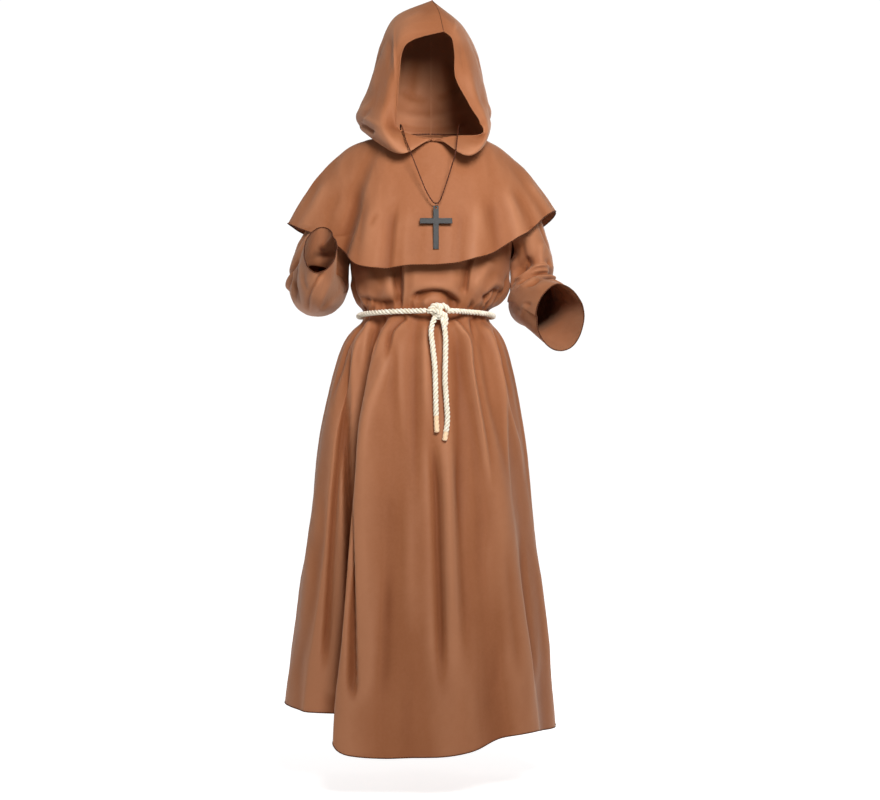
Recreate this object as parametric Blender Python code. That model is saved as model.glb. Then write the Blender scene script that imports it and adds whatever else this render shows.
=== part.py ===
"""Monk costume as it is worn: long robe, capelet with a hood, rope belt, plain cross on a cord.

Metres, +Z up. The front faces -Y and the wearer's left is +X. The origin is at the base of
the neck, in the middle between the shoulders, where the wearer's shoulders carry the cloth.
Angles go round the figure in degrees: 0 is the front, 90 the wearer's left, 180 the back.
"""
import math

import bpy
from mathutils import Matrix, Vector

# Cloth
WALL = 0.0016
SEAM_GAP = 0.0003
MOST_STRETCH = 2.2

# Heights of the robe's main levels
WAIST = -0.388
UNDERARM = -0.262

# Robe sections: height, wearer's right side x, left side x, front y, back y
ROBE_SECTIONS = [
    (-1.360, -0.325, 0.276, -0.285, 0.235),
    (-1.240, -0.316, 0.266, -0.268, 0.222),
    (-1.120, -0.297, 0.256, -0.250, 0.208),
    (-1.000, -0.282, 0.242, -0.232, 0.195),
    (-0.880, -0.268, 0.230, -0.214, 0.183),
    (-0.760, -0.252, 0.216, -0.196, 0.172),
    (-0.660, -0.240, 0.206, -0.181, 0.163),
    (-0.580, -0.224, 0.193, -0.168, 0.156),
    (-0.510, -0.207, 0.179, -0.155, 0.148),
    (-0.460, -0.192, 0.166, -0.144, 0.138),
    (-0.425, -0.172, 0.150, -0.130, 0.122),
    (-0.400, -0.153, 0.135, -0.117, 0.106),
    (-0.388, -0.150, 0.132, -0.115, 0.104),
    (-0.376, -0.152, 0.134, -0.116, 0.105),
    (-0.360, -0.163, 0.153, -0.124, 0.113),
    (-0.340, -0.170, 0.169, -0.134, 0.120),
    (-0.315, -0.176, 0.177, -0.140, 0.124),
    (-0.262, -0.182, 0.182, -0.138, 0.122),
]
ROBE_MID_Y = 0.004
ROUNDNESS = 0.92

# Hem height round the robe: angle, height
HEM_HEIGHTS = [
    (-180, -1.300), (-135, -1.282), (-90, -1.255), (-60, -1.262), (-44, -1.272), (-34, -1.300),
    (-22, -1.338), (0, -1.341), (20, -1.330), (38, -1.308), (55, -1.302), (72, -1.314),
    (90, -1.317), (135, -1.300), (180, -1.300),
]

# Skirt folds: angle at the waist, angle at the hem, half width at the hem, height of the ridge
# at the hem (a furrow is negative), lean to the wearer's left, and how soon the fold is full
SKIRT_FOLDS = [
    (-78, -76, 17, 0.014, 0.000, 0.5),
    (-47, -44, 15, -0.085, 0.024, 0.35),
    (-28, -26, 13, 0.022, -0.026, 0.35),
    (-8, -4, 15, -0.008, 0.000, 0.6),
    (12, 14, 16, 0.010, 0.000, 0.7),
    (24, 34, 13, -0.012, 0.000, 0.6),
    (38, 52, 16, 0.016, 0.004, 0.6),
    (60, 72, 15, -0.012, 0.000, 0.7),
    (84, 90, 16, 0.012, 0.000, 0.8),
    (104, 110, 15, -0.022, 0.006, 0.5),
    (124, 130, 17, 0.016, 0.000, 0.6),
    (146, 150, 14, -0.026, 0.000, 0.5),
    (168, 170, 17, 0.018, 0.000, 0.6),
    (188, 190, 14, -0.024, -0.006, 0.5),
    (208, 211, 17, 0.016, 0.000, 0.6),
    (232, 234, 14, -0.026, 0.006, 0.5),
    (254, 258, 16, 0.014, 0.000, 0.7),
]

# Gathers close under and over the belt: angle, half width, height at the belt
WAIST_GATHERS = [
    (-66, 7, -0.005), (-50, 7, 0.005), (-34, 8, -0.006), (-18, 8, 0.005), (-5, 6, -0.004),
    (22, 7, -0.005), (36, 7, 0.005), (50, 7, -0.006), (66, 7, 0.004), (110, 8, -0.005),
    (126, 7, 0.005), (142, 8, -0.006), (160, 8, 0.005), (178, 8, -0.006), (196, 8, 0.005),
    (214, 8, -0.006), (232, 8, 0.005), (250, 8, -0.005),
]
GATHER_REACH = 0.085
GATHER_FULLNESS = 0.7

# Folds of the bloused chest: angle, half width, height, level of the middle, reach up and down
CHEST_FOLDS = [
    (-62, 16, 0.010, -0.350, 0.055), (-40, 12, -0.010, -0.330, 0.075),
    (-18, 10, -0.009, -0.330, 0.080), (4, 15, 0.007, -0.350, 0.050),
    (24, 11, -0.008, -0.325, 0.080), (52, 16, 0.009, -0.350, 0.060),
    (120, 14, -0.008, -0.325, 0.080), (150, 16, 0.008, -0.350, 0.060),
    (180, 12, -0.008, -0.325, 0.080), (210, 16, 0.008, -0.350, 0.060),
    (238, 14, -0.008, -0.325, 0.080),
]

# Yoke of the robe over the shoulders
SHOULDER_TIP = (0.195, 0.004, -0.068)
ARMHOLE_DEPTH = 0.068
ARMHOLE_POINTED = 1.4
ARMHOLE_TILT = 0.15
NECK_HALF_WIDTH = 0.072
NECK_FRONT = -0.092
NECK_BACK = 0.074
NECK_SIDE_Z = 0.012
NECK_FRONT_Z = 0.002
NECK_BACK_Z = 0.030
NECK_SHARE = 0.46
ARMHOLE_SHARE = 0.62

# How the yoke's cloth rises from underarm level, and how it leaves the shoulder seam and the
# neckline forwards and down
YOKE_RISE = 0.10
SHOULDER_LEAVE = (0.062, -0.010)
NECKLINE_LEAVE = (0.026, -0.055)

# Rows and columns of the robe's panels
SKIRT_STEPS = (1.0, 0.91, 0.82, 0.73, 0.64, 0.55, 0.46, 0.37, 0.28, 0.20, 0.13, 0.07, 0.03)
CHEST_LEVELS = (WAIST, -0.376, -0.360, -0.335, -0.300)
YOKE_STEPS = 6
FRONT_SPANS = ((-90, -60, 4), (-60, -26, 9), (-26, 90, 15))
BACK_SPANS = ((90, 270, 24),)

# Sleeve rings: middle x, y, z; reach towards the crook x, y, z; spread to the outer side x, y, z
RIGHT_SLEEVE = [
    (-0.2080, 0.004, -0.190, 0, -0.074, 0.002, -0.0200, 0, 0.078),
    (-0.2250, 0.004, -0.222, 0, -0.073, 0.008, -0.0350, 0, 0.058),
    (-0.2430, 0.006, -0.256, 0, -0.072, 0.018, -0.0530, 0, 0.038),
    (-0.2540, 0.010, -0.295, 0, -0.070, 0.033, -0.0650, 0, 0.015),
    (-0.2550, -0.006, -0.322, 0, -0.052, 0.050, -0.0660, 0, 0.008),
    (-0.2550, -0.040, -0.333, 0, -0.020, 0.056, -0.0620, 0, 0.004),
    (-0.2550, -0.083, -0.334, 0, 0.017, 0.058, -0.0560, 0, 0.000),
    (-0.2540, -0.123, -0.327, 0, 0.047, 0.061, -0.0500, 0, 0.000),
    (-0.2500, -0.158, -0.308, 0, 0.067, 0.060, -0.0440, 0, 0.000),
    (-0.2440, -0.181, -0.283, 0, 0.077, 0.057, -0.0400, 0, 0.000),
    (-0.2370, -0.198, -0.253, 0, 0.080, 0.055, -0.0350, 0, 0.000),
]
LEFT_SLEEVE = [
    (0.2080, 0.004, -0.190, 0, -0.074, 0.002, 0.0200, 0, 0.078),
    (0.2200, 0.005, -0.225, 0, -0.073, 0.006, 0.0300, 0, 0.060),
    (0.2280, 0.006, -0.258, 0, -0.071, 0.012, 0.0370, 0, 0.044),
    (0.2330, 0.008, -0.288, 0, -0.069, 0.024, 0.0440, 0, 0.033),
    (0.2330, 0.010, -0.323, 0, -0.074, 0.037, 0.0490, 0, 0.016),
    (0.2290, -0.008, -0.350, 0, -0.062, 0.052, 0.0520, 0, 0.008),
    (0.2320, -0.045, -0.358, 0, -0.035, 0.055, 0.0520, 0.004, 0.000),
    (0.2430, -0.092, -0.367, 0, -0.013, 0.058, 0.0510, 0.010, 0.000),
    (0.2590, -0.137, -0.380, 0, -0.003, 0.065, 0.0510, 0.014, 0.000),
    (0.2730, -0.175, -0.392, 0, 0.005, 0.070, 0.0520, 0.015, 0.000),
    (0.2830, -0.203, -0.400, 0, 0.012, 0.073, 0.0520, 0.016, 0.000),
]
SLEEVE_RINGS = 18
SLEEVE_SIDES = 24

# Capelet hem: angle, x, y, z
CAPE_HEM = [
    (-90, -0.325, 0.005, -0.177), (-79, -0.285, -0.040, -0.196), (-69, -0.236, -0.078, -0.216),
    (-59, -0.198, -0.104, -0.247), (-49, -0.178, -0.136, -0.268), (-38, -0.145, -0.158, -0.285),
    (-26, -0.104, -0.168, -0.290), (-10, -0.036, -0.173, -0.284), (8, 0.030, -0.172, -0.282),
    (24, 0.088, -0.166, -0.272), (39, 0.147, -0.150, -0.252), (55, 0.204, -0.115, -0.215),
    (72, 0.252, -0.062, -0.172), (90, 0.288, 0.004, -0.150), (108, 0.262, 0.065, -0.185),
    (125, 0.212, 0.115, -0.225), (145, 0.148, 0.148, -0.262), (165, 0.070, 0.162, -0.285),
    (180, 0.000, 0.164, -0.290), (195, -0.070, 0.162, -0.288), (215, -0.152, 0.150, -0.272),
    (235, -0.222, 0.120, -0.240), (252, -0.282, 0.072, -0.205), (270, -0.325, 0.005, -0.177),
]
CAPE_NECK_HALF_WIDTH = 0.090
CAPE_NECK_FRONT = -0.101
CAPE_NECK_BACK = 0.088
CAPE_NECK_Z = (-0.006, 0.018, 0.034)
CAPE_SPREAD = (0.74, 0.98)
CAPE_DROP = (1.0, 1.75, 2.2)

# Capelet folds: angle, half width, height at the hem, share of the length where it starts
CAPE_FOLDS = [
    (-60, 12, -0.006, 0.35), (-44, 11, 0.007, 0.30), (-16, 14, -0.005, 0.45),
    (18, 15, 0.004, 0.50), (46, 13, -0.007, 0.35), (64, 12, 0.006, 0.30),
    (112, 15, -0.010, 0.30), (136, 14, 0.009, 0.30), (160, 14, -0.009, 0.35),
    (184, 15, 0.009, 0.30), (208, 14, -0.009, 0.35), (230, 14, 0.009, 0.30),
    (250, 12, -0.008, 0.30),
]
CAPE_ROWS = 10
CAPE_FRONT_SPANS = ((-90, 90, 26),)
CAPE_BACK_SPANS = ((90, 270, 24),)

# Hood levels from the neck seam to the top seam. Each half has, at a level: the face edge
# x, y, z, the cheek x, y, z and the side x, y, z. The centre seam is shared: x, y, z.
HOOD_LEVELS = (0.0, 0.06, 0.13, 0.20, 0.29, 0.42, 0.56, 0.74, 0.88, 1.0)
HOOD_RIGHT = [
    (0.007, -0.1025, -0.0050, -0.066, -0.074, 0.0090, -0.0910, 0.004, 0.0195),
    (-0.005, -0.1070, -0.0060, -0.070, -0.114, -0.0080, -0.1330, 0.002, 0.0290),
    (-0.010, -0.1150, -0.0150, -0.068, -0.148, -0.0390, -0.1590, 0.000, 0.0370),
    (-0.028, -0.1230, -0.0080, -0.094, -0.148, -0.0120, -0.1660, 0.000, 0.0560),
    (-0.071, -0.1210, 0.0230, -0.112, -0.126, 0.0350, -0.1600, 0.000, 0.0840),
    (-0.0725, -0.1220, 0.0770, -0.104, -0.108, 0.0850, -0.1460, 0.000, 0.1190),
    (-0.0680, -0.1220, 0.1350, -0.095, -0.102, 0.1400, -0.1290, 0.000, 0.1680),
    (-0.0600, -0.1220, 0.1950, -0.084, -0.096, 0.2010, -0.1110, 0.000, 0.2320),
    (-0.0330, -0.1200, 0.2200, -0.058, -0.088, 0.2510, -0.0790, -0.006, 0.2860),
    (0.0310, -0.1120, 0.2380, 0.020, -0.074, 0.2880, 0.0045, -0.020, 0.3240),
]
HOOD_LEFT = [
    (0.009, -0.1025, -0.0050, 0.070, -0.074, 0.0090, 0.0910, 0.004, 0.0195),
    (0.021, -0.1070, -0.0060, 0.079, -0.114, -0.0090, 0.1150, 0.002, 0.0260),
    (0.026, -0.1150, -0.0150, 0.086, -0.149, -0.0420, 0.1310, 0.000, 0.0290),
    (0.040, -0.1180, -0.0020, 0.110, -0.148, -0.0290, 0.1360, 0.000, 0.0440),
    (0.110, -0.1330, 0.0180, 0.126, -0.116, 0.0260, 0.1340, 0.000, 0.0700),
    (0.0830, -0.1300, 0.0770, 0.112, -0.108, 0.0880, 0.1290, 0.000, 0.1120),
    (0.0580, -0.1240, 0.1300, 0.092, -0.102, 0.1380, 0.1200, 0.000, 0.1620),
    (0.0550, -0.1220, 0.1850, 0.082, -0.095, 0.1920, 0.1030, 0.000, 0.2180),
    (0.0490, -0.1180, 0.2200, 0.062, -0.088, 0.2460, 0.0710, -0.006, 0.2740),
    (0.0310, -0.1120, 0.2380, 0.020, -0.074, 0.2880, 0.0045, -0.020, 0.3240),
]
HOOD_CENTRE = [
    (0.0, 0.0895, 0.0350), (0.0, 0.118, 0.0300), (0.0, 0.134, 0.0380), (0.0, 0.138, 0.0580),
    (0.0, 0.136, 0.0850), (0.0, 0.132, 0.1200), (0.0, 0.129, 0.1650), (0.0, 0.118, 0.2250),
    (0.0, 0.088, 0.2760), (0.0, 0.050, 0.3040),
]
HOOD_QUARTER = (0.74, 0.72)

# Where the face edge, the cheek, the side, the quarter and the centre seam lie along a level
HOOD_PLACES = (0.0, 0.28, 0.58, 0.80, 1.0)
HOOD_SEAM_ANGLES = [(0.0, 4.0), (0.28, 44.0), (0.58, 92.0), (1.0, 180.0)]
HOOD_SEAM_LIFT = 0.0005
HOOD_SEAM_FADE = 0.11
HOOD_COLUMNS = 14
HOOD_ROWS = 17

# Rope belt
ROPE_RADIUS = 0.0060
BELT_CLEARANCE = 0.0055
BELT_FRONT_Z = -0.3825
BELT_SIDE_Z = -0.3895
BELT_POINTS = 42
BELT_STEPS = 720
KNOT_CENTRE = (0.0190, -0.1420, -0.3810)
KNOT_HALF_GAP = 0.0215
BELT_JOINS_KNOT = 0.05

# Lobes of the knot: middle from the knot's centre x, y, z; half sizes x, y, z
KNOT_LOBES = [
    (-0.008, 0.000, 0.0065, 0.0125, 0.0115, 0.0105),
    (0.008, -0.002, 0.0060, 0.0125, 0.0115, 0.0105),
    (0.000, -0.001, -0.0070, 0.0120, 0.0110, 0.0120),
    (-0.012, 0.001, -0.0015, 0.0095, 0.0080, 0.0075),
    (0.012, 0.001, -0.0015, 0.0095, 0.0080, 0.0075),
]
BELT_END_RIGHT = [
    (0.0113, -0.1468, -0.3977), (0.0055, -0.1520, -0.4140), (0.0035, -0.1575, -0.4320),
    (0.0065, -0.1630, -0.4600), (0.0110, -0.1700, -0.5000), (0.0130, -0.1770, -0.5500),
    (0.0140, -0.1840, -0.6000), (0.0160, -0.1905, -0.6480),
]
BELT_END_LEFT = [
    (0.0272, -0.1468, -0.3979), (0.0325, -0.1530, -0.4180), (0.0350, -0.1590, -0.4450),
    (0.0345, -0.1670, -0.4900), (0.0340, -0.1745, -0.5400), (0.0370, -0.1805, -0.5850),
    (0.0385, -0.1850, -0.6250), (0.0330, -0.1900, -0.6660),
]
END_POINTS = 13

# Cross on its cord
CORD_RADIUS = 0.0010
CORD_ROUTE = [
    (0.000, 0.0700, 0.0340), (-0.030, 0.0660, 0.0330), (-0.054, 0.0470, 0.0300),
    (-0.066, 0.0100, 0.0290), (-0.066, -0.0400, 0.0300), (-0.065, -0.0900, 0.0330),
    (-0.060, -0.1270, 0.0200), (-0.053, -0.1480, -0.0060), (-0.0425, -0.1600, -0.0340),
    (-0.0260, -0.1610, -0.0760), (-0.0090, -0.1620, -0.1180), (0.0060, -0.1630, -0.1440),
    (0.0140, -0.1632, -0.1490), (0.0220, -0.1630, -0.1440), (0.0330, -0.1620, -0.1150),
    (0.0450, -0.1610, -0.0780), (0.0560, -0.1600, -0.0400), (0.0600, -0.1500, -0.0100),
    (0.0630, -0.1270, 0.0200), (0.0660, -0.0900, 0.0330), (0.0660, -0.0400, 0.0300),
    (0.0660, 0.0100, 0.0290), (0.0540, 0.0470, 0.0300), (0.0300, 0.0660, 0.0330),
    (0.0030, 0.0700, 0.0340),
]
CORD_POINTS = 76
RING_RADIUS = 0.0060
RING_WIRE = 0.0006
RING_TURNS = 20
CROSS_HEIGHT = 0.095
CROSS_WIDTH = 0.071
CROSS_BAR = 0.012
CROSS_THICK = 0.004
CROSS_ARM_DROP = 0.033
CROSS_HOLE = 0.0022
CROSS_HOLE_DROP = 0.0045
CROSS_EDGE = 0.0008
CROSS_LEAN = -3.1
HOLE_SIDES = 16
RING_PLAY = 0.0008
CORD_PLAY = 0.0014
CORD_LOWEST = 12


def remove_everything():
    """Empty the scene."""
    for item in list(bpy.data.objects):
        bpy.data.objects.remove(item, do_unlink=True)


def material(name, colour, roughness, metallic=0.0):
    """A plain finish."""
    finish = bpy.data.materials.new(name)
    finish.use_nodes = True
    shader = finish.node_tree.nodes["Principled BSDF"]
    shader.inputs["Base Color"].default_value = (*colour, 1.0)
    shader.inputs["Roughness"].default_value = roughness
    shader.inputs["Metallic"].default_value = metallic
    finish.diffuse_color = (*colour, 1.0)
    return finish


def smooth(value):
    """Ease from 0 to 1."""
    value = min(1.0, max(0.0, value))
    return value * value * (3.0 - 2.0 * value)


def interpolate(rows, at):
    """Smooth values between a table's rows; the first column is the place."""
    last = len(rows) - 1
    at = min(max(at, rows[0][0]), rows[last][0])
    index = 0
    while index < last - 1 and at > rows[index + 1][0]:
        index += 1
    low, high = rows[index], rows[index + 1]
    before = rows[max(index - 1, 0)]
    after = rows[min(index + 2, last)]
    span = high[0] - low[0]
    t = (at - low[0]) / span
    result = []
    for column in range(1, len(low)):
        slope_low = (high[column] - before[column]) / (high[0] - before[0]) * span
        slope_high = (after[column] - low[column]) / (after[0] - low[0]) * span
        t2 = t * t
        t3 = t2 * t
        result.append((2 * t3 - 3 * t2 + 1) * low[column] + (t3 - 2 * t2 + t) * slope_low
                      + (3 * t2 - 2 * t3) * high[column] + (t3 - t2) * slope_high)
    return result


def signed_power(value, power):
    """A power that keeps the sign."""
    return math.copysign(abs(value) ** power, value)


def turn_between(angle, other):
    """The shorter way from one angle to another, in degrees."""
    return (angle - other + 180.0) % 360.0 - 180.0


def bump(distance, half_width):
    """A soft ridge, 1 in its middle and 0 from its half width on."""
    if abs(distance) >= half_width:
        return 0.0
    return 0.5 + 0.5 * math.cos(math.pi * distance / half_width)


def spread_angles(spans):
    """Angles of a panel's columns from spans of first angle, last angle and steps."""
    angles = [float(spans[0][0])]
    for first, last, steps in spans:
        angles += [first + (last - first) * step / steps for step in range(1, steps + 1)]
    return angles


def hem_height(angle):
    """Height of the robe's hem at an angle."""
    return interpolate(HEM_HEIGHTS, turn_between(angle, 0.0))[0]


def robe_ring(angle, height):
    """A point of the robe's round form, without folds."""
    right, left, front, back = interpolate(ROBE_SECTIONS, height)
    radians = math.radians(angle)
    middle = 0.5 * (left + right)
    depth = ROBE_MID_Y - front if math.cos(radians) > 0.0 else back - ROBE_MID_Y
    return Vector((middle + 0.5 * (left - right) * signed_power(math.sin(radians), ROUNDNESS),
                   ROBE_MID_Y - depth * signed_power(math.cos(radians), ROUNDNESS), height))


def robe_point(angle, height, drop):
    """A point of the robe below the underarm. The drop is 0 at the waist, 1 at the hem."""
    base = robe_ring(angle, height)
    ahead = robe_ring(angle + 1.0, height) - robe_ring(angle - 1.0, height)
    ahead.normalize()
    outward = ahead.cross(Vector((0.0, 0.0, 1.0)))
    lift = 0.0
    lean = 0.0
    for at_waist, at_hem, half_width, ridge, side_lean, early in SKIRT_FOLDS:
        middle = at_waist + (at_hem - at_waist) * drop
        shape = bump(turn_between(angle, middle), half_width) * drop ** early
        lift += ridge * shape
        lean += side_lean * shape
    near_belt = 1.0 - smooth(abs(height - WAIST) / GATHER_REACH)
    for at, half_width, ridge in WAIST_GATHERS:
        lift += ridge * bump(turn_between(angle, at), half_width) * near_belt * GATHER_FULLNESS
    for at, half_width, ridge, level, reach in CHEST_FOLDS:
        lift += ridge * bump(turn_between(angle, at), half_width) * bump(height - level, reach)
    return base + outward * lift + ahead * lean


def armhole_point(side, turn):
    """A point of an armhole; side is 1 on the wearer's left, and turn 0 is its front."""
    low = robe_point(90.0 * side, UNDERARM, 0.0)
    high = Vector((SHOULDER_TIP[0] * side, SHOULDER_TIP[1], SHOULDER_TIP[2]))
    radians = math.radians(turn)
    forward = Vector((0.0, -ARMHOLE_DEPTH * signed_power(math.cos(radians), ARMHOLE_POINTED), 0.0))
    return (low + high) * 0.5 + (high - low) * (0.5 * math.sin(radians)) + forward


def neckline_point(angle):
    """A point of the robe's neckline."""
    radians = math.radians(angle)
    ahead = math.cos(radians)
    reach = NECK_FRONT if ahead > 0.0 else -NECK_BACK
    end_height = NECK_FRONT_Z if ahead > 0.0 else NECK_BACK_Z
    height = NECK_SIDE_Z + (end_height - NECK_SIDE_Z) * ahead * ahead
    return Vector((NECK_HALF_WIDTH * math.sin(radians), reach * ahead, height))


def bezier(first, second, third, fourth, t):
    """A point of a cubic Bezier curve."""
    s = 1.0 - t
    return first * s ** 3 + second * (3 * s * s * t) + third * (3 * s * t * t) + fourth * t ** 3


def yoke_column(share, facing, angle, t):
    """A point between underarm level and the shoulder seam or neckline.

    The share runs from -1 to 1 from side to side, facing is 1 in front and -1 behind.
    """
    side = 1.0 if share >= 0.0 else -1.0
    low = robe_point(angle, UNDERARM, 0.0)
    if abs(share) < NECK_SHARE:
        turn = 90.0 * share / NECK_SHARE
        high = neckline_point(turn if facing > 0 else 180.0 - turn)
    else:
        neck = neckline_point(90.0 * side)
        tip = Vector((SHOULDER_TIP[0] * side, SHOULDER_TIP[1], SHOULDER_TIP[2]))
        high = neck.lerp(tip, (abs(share) - NECK_SHARE) / (1.0 - NECK_SHARE))
    at_neck = 1.0 - smooth(abs(share) / NECK_SHARE)
    rise = Vector((0.0, 0.0, YOKE_RISE))
    from_shoulder = Vector((0.0, -SHOULDER_LEAVE[0] * facing, SHOULDER_LEAVE[1]))
    from_neckline = Vector((0.0, -NECKLINE_LEAVE[0] * facing, NECKLINE_LEAVE[1]))
    leave = from_shoulder.lerp(from_neckline, at_neck)
    return bezier(low, low + rise, high + leave, high, t)


def yoke_point(share, facing, angle, t):
    """A yoke point, drawn to the armhole near the side."""
    side = 1.0 if share >= 0.0 else -1.0
    point = yoke_column(share, facing, angle, t)
    turn = -90.0 + 180.0 * t
    if facing < 0:
        turn = 180.0 - turn
    edge_shift = armhole_point(side, turn) - yoke_column(side, facing, 90.0 * side, t)
    return point + edge_shift * smooth((abs(share) - ARMHOLE_SHARE) / (1.0 - ARMHOLE_SHARE))


def robe_grid(spans, facing):
    """Points of the robe's front or back panel, rows from the hem up."""
    angles = spread_angles(spans)
    rows = []
    for drop in SKIRT_STEPS:
        rows.append([robe_point(angle, WAIST + (hem_height(angle) - WAIST) * drop, drop)
                     for angle in angles])
    for level in CHEST_LEVELS:
        rows.append([robe_point(angle, level, 0.0) for angle in angles])
    for step in range(YOKE_STEPS + 1):
        row = []
        for angle in angles:
            share = angle / 90.0 if facing > 0 else (180.0 - angle) / 90.0
            row.append(yoke_point(share, facing, angle, step / YOKE_STEPS))
        rows.append(row)
    return rows


def armhole_loop(side):
    """The armhole as the robe's panels make it, with a point between each two of theirs."""
    corners = []
    for step in range(2 * YOKE_STEPS):
        corners.append(armhole_point(side, -90.0 + 180.0 * step / YOKE_STEPS))
    loop = []
    per_side = SLEEVE_SIDES // len(corners)
    for index, corner in enumerate(corners):
        following = corners[(index + 1) % len(corners)]
        loop += [corner.lerp(following, part / per_side) for part in range(per_side)]
    return loop


def sleeve_grid(side, table):
    """Rings of a sleeve from the armhole to the cuff; a ring starts at the underarm."""
    outward = Vector((side, 0.0, -ARMHOLE_TILT)).normalized()
    first = [point + outward * (3.0 * SEAM_GAP) for point in armhole_loop(side)]
    rows = [first]
    marked = [(index,) + row for index, row in enumerate(table)]
    for ring in range(SLEEVE_RINGS):
        values = interpolate(marked, ring * (len(table) - 1) / (SLEEVE_RINGS - 1))
        middle, reach, spread = Vector(values[0:3]), Vector(values[3:6]), Vector(values[6:9])
        turns = [math.radians(-90.0 + 360.0 * step / SLEEVE_SIDES) for step in range(SLEEVE_SIDES)]
        rows.append([middle + reach * math.cos(turn) + spread * math.sin(turn) for turn in turns])
    if side > 0:
        rows = [[row[0]] + row[:0:-1] for row in rows]
    return rows


def cape_point(angle, share):
    """A point of the capelet; the share is 0 at the neck seam and 1 at the hem."""
    radians = math.radians(angle)
    ahead = math.cos(radians)
    sideways = abs(math.sin(radians))
    neck_y = CAPE_NECK_FRONT if ahead > 0.0 else -CAPE_NECK_BACK
    end_z = CAPE_NECK_Z[0] if ahead > 0.0 else CAPE_NECK_Z[2]
    neck = Vector((CAPE_NECK_HALF_WIDTH * math.sin(radians), neck_y * ahead,
                   CAPE_NECK_Z[1] + (end_z - CAPE_NECK_Z[1]) * ahead * ahead))
    at = angle if angle <= 270.0 else angle - 360.0
    hem = Vector(interpolate(CAPE_HEM, at))
    over_shoulder = sideways ** 3
    side_drop = CAPE_DROP[1] if math.sin(radians) > 0.0 else CAPE_DROP[2]
    spread = share ** (CAPE_SPREAD[0] + (CAPE_SPREAD[1] - CAPE_SPREAD[0]) * over_shoulder)
    drop = share ** (CAPE_DROP[0] + (side_drop - CAPE_DROP[0]) * over_shoulder)
    point = neck + Vector(((hem.x - neck.x) * spread, (hem.y - neck.y) * spread,
                           (hem.z - neck.z) * drop))
    outward = Vector((math.sin(radians), -ahead, 0.0))
    for middle, half_width, ridge, start in CAPE_FOLDS:
        point += outward * (ridge * bump(turn_between(angle, middle), half_width)
                            * smooth((share - start) / (1.0 - start)))
    return point


def cape_grid(spans):
    """Points of the capelet's front or back, rows from the hem up to the neck."""
    return [[cape_point(angle, 1.0 - row / CAPE_ROWS) for angle in spread_angles(spans)]
            for row in range(CAPE_ROWS + 1)]


def hood_seam_point(side, share):
    """A point of the hood's lower edge, which lies on the capelet's neck edge."""
    angle = interpolate(HOOD_SEAM_ANGLES, share)[0]
    return cape_point(side * angle, 0.0) + Vector((0.0, 0.0, HOOD_SEAM_LIFT))


def hood_grid(table, side):
    """Points of one half of the hood, rows from the neck seam up."""
    marked = [(level,) + face + centre
              for level, face, centre in zip(HOOD_LEVELS, table, HOOD_CENTRE)]
    rows = []
    shifts = None
    for row in range(HOOD_ROWS):
        level = row / (HOOD_ROWS - 1)
        values = interpolate(marked, level)
        face, cheek, edge, centre = (Vector(values[3 * index:3 * index + 3]) for index in range(4))
        quarter = Vector((HOOD_QUARTER[0] * edge.x + (1.0 - HOOD_QUARTER[0]) * centre.x,
                          edge.y + HOOD_QUARTER[1] * (centre.y - edge.y), 0.5 * (edge.z + centre.z)))
        beyond = Vector((2.0 * centre.x - quarter.x, quarter.y, quarter.z))
        guides = [(place, *point) for place, point in zip(HOOD_PLACES, (face, cheek, edge, quarter, centre))]
        guides.append((2.0 * HOOD_PLACES[4] - HOOD_PLACES[3], *beyond))
        line = [Vector(interpolate(guides, column / (HOOD_COLUMNS - 1)))
                for column in range(HOOD_COLUMNS)]
        if shifts is None:
            shifts = [hood_seam_point(side, column / (HOOD_COLUMNS - 1)) - point
                      for column, point in enumerate(line)]
        hold = 1.0 - smooth(level / HOOD_SEAM_FADE)
        line = [point + shift * hold for point, shift in zip(line, shifts)]
        rows.append(line if side > 0 else line[::-1])
    return rows


def grid_normals(rows, closed):
    """Outward directions at a grid's points, longer where the cloth is folded sharply."""
    height, width = len(rows), len(rows[0])
    normals = [[Vector((0.0, 0.0, 0.0)) for _ in range(width)] for _ in range(height)]
    counts = [[0] * width for _ in range(height)]
    for i in range(height - 1):
        for j in range(width if closed else width - 1):
            k = (j + 1) % width
            across = rows[i + 1][k] - rows[i][j]
            other = rows[i + 1][j] - rows[i][k]
            normal = across.cross(other).normalized()
            for a, b in ((i, j), (i, k), (i + 1, j), (i + 1, k)):
                normals[a][b] += normal
                counts[a][b] += 1
    for line, numbers in zip(normals, counts):
        for normal, number in zip(line, numbers):
            stretch = min(MOST_STRETCH, number / normal.length)
            normal.normalize()
            normal *= stretch
    return normals


def even_out(normals, rounds):
    """Soften the change of direction between neighbours."""
    for _ in range(rounds):
        before = [[normal.copy() for normal in line] for line in normals]
        for i, line in enumerate(normals):
            for j, normal in enumerate(line):
                stretch = normal.length
                for a, b in ((i - 1, j), (i + 1, j), (i, j - 1), (i, j + 1)):
                    if 0 <= a < len(normals) and 0 <= b < len(line):
                        normal += before[a][b] * 0.5
                normal.normalize()
                normal *= stretch


def share_normals(first, first_spots, second, second_spots):
    """Give two panels the same directions along the seam between them."""
    for (a, b), (c, d) in zip(first_spots, second_spots):
        mean = (first[a][b] + second[c][d]) * 0.5
        first[a][b] = mean.copy()
        second[c][d] = mean.copy()


def pull_edge(rows, spots, inner_spots):
    """Draw an edge back by half of the seam's gap."""
    moves = []
    for (a, b), (c, d) in zip(spots, inner_spots):
        moves.append((rows[c][d] - rows[a][b]).normalized() * (SEAM_GAP * 0.5))
    for (a, b), move in zip(spots, moves):
        rows[a][b] = rows[a][b] + move


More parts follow.
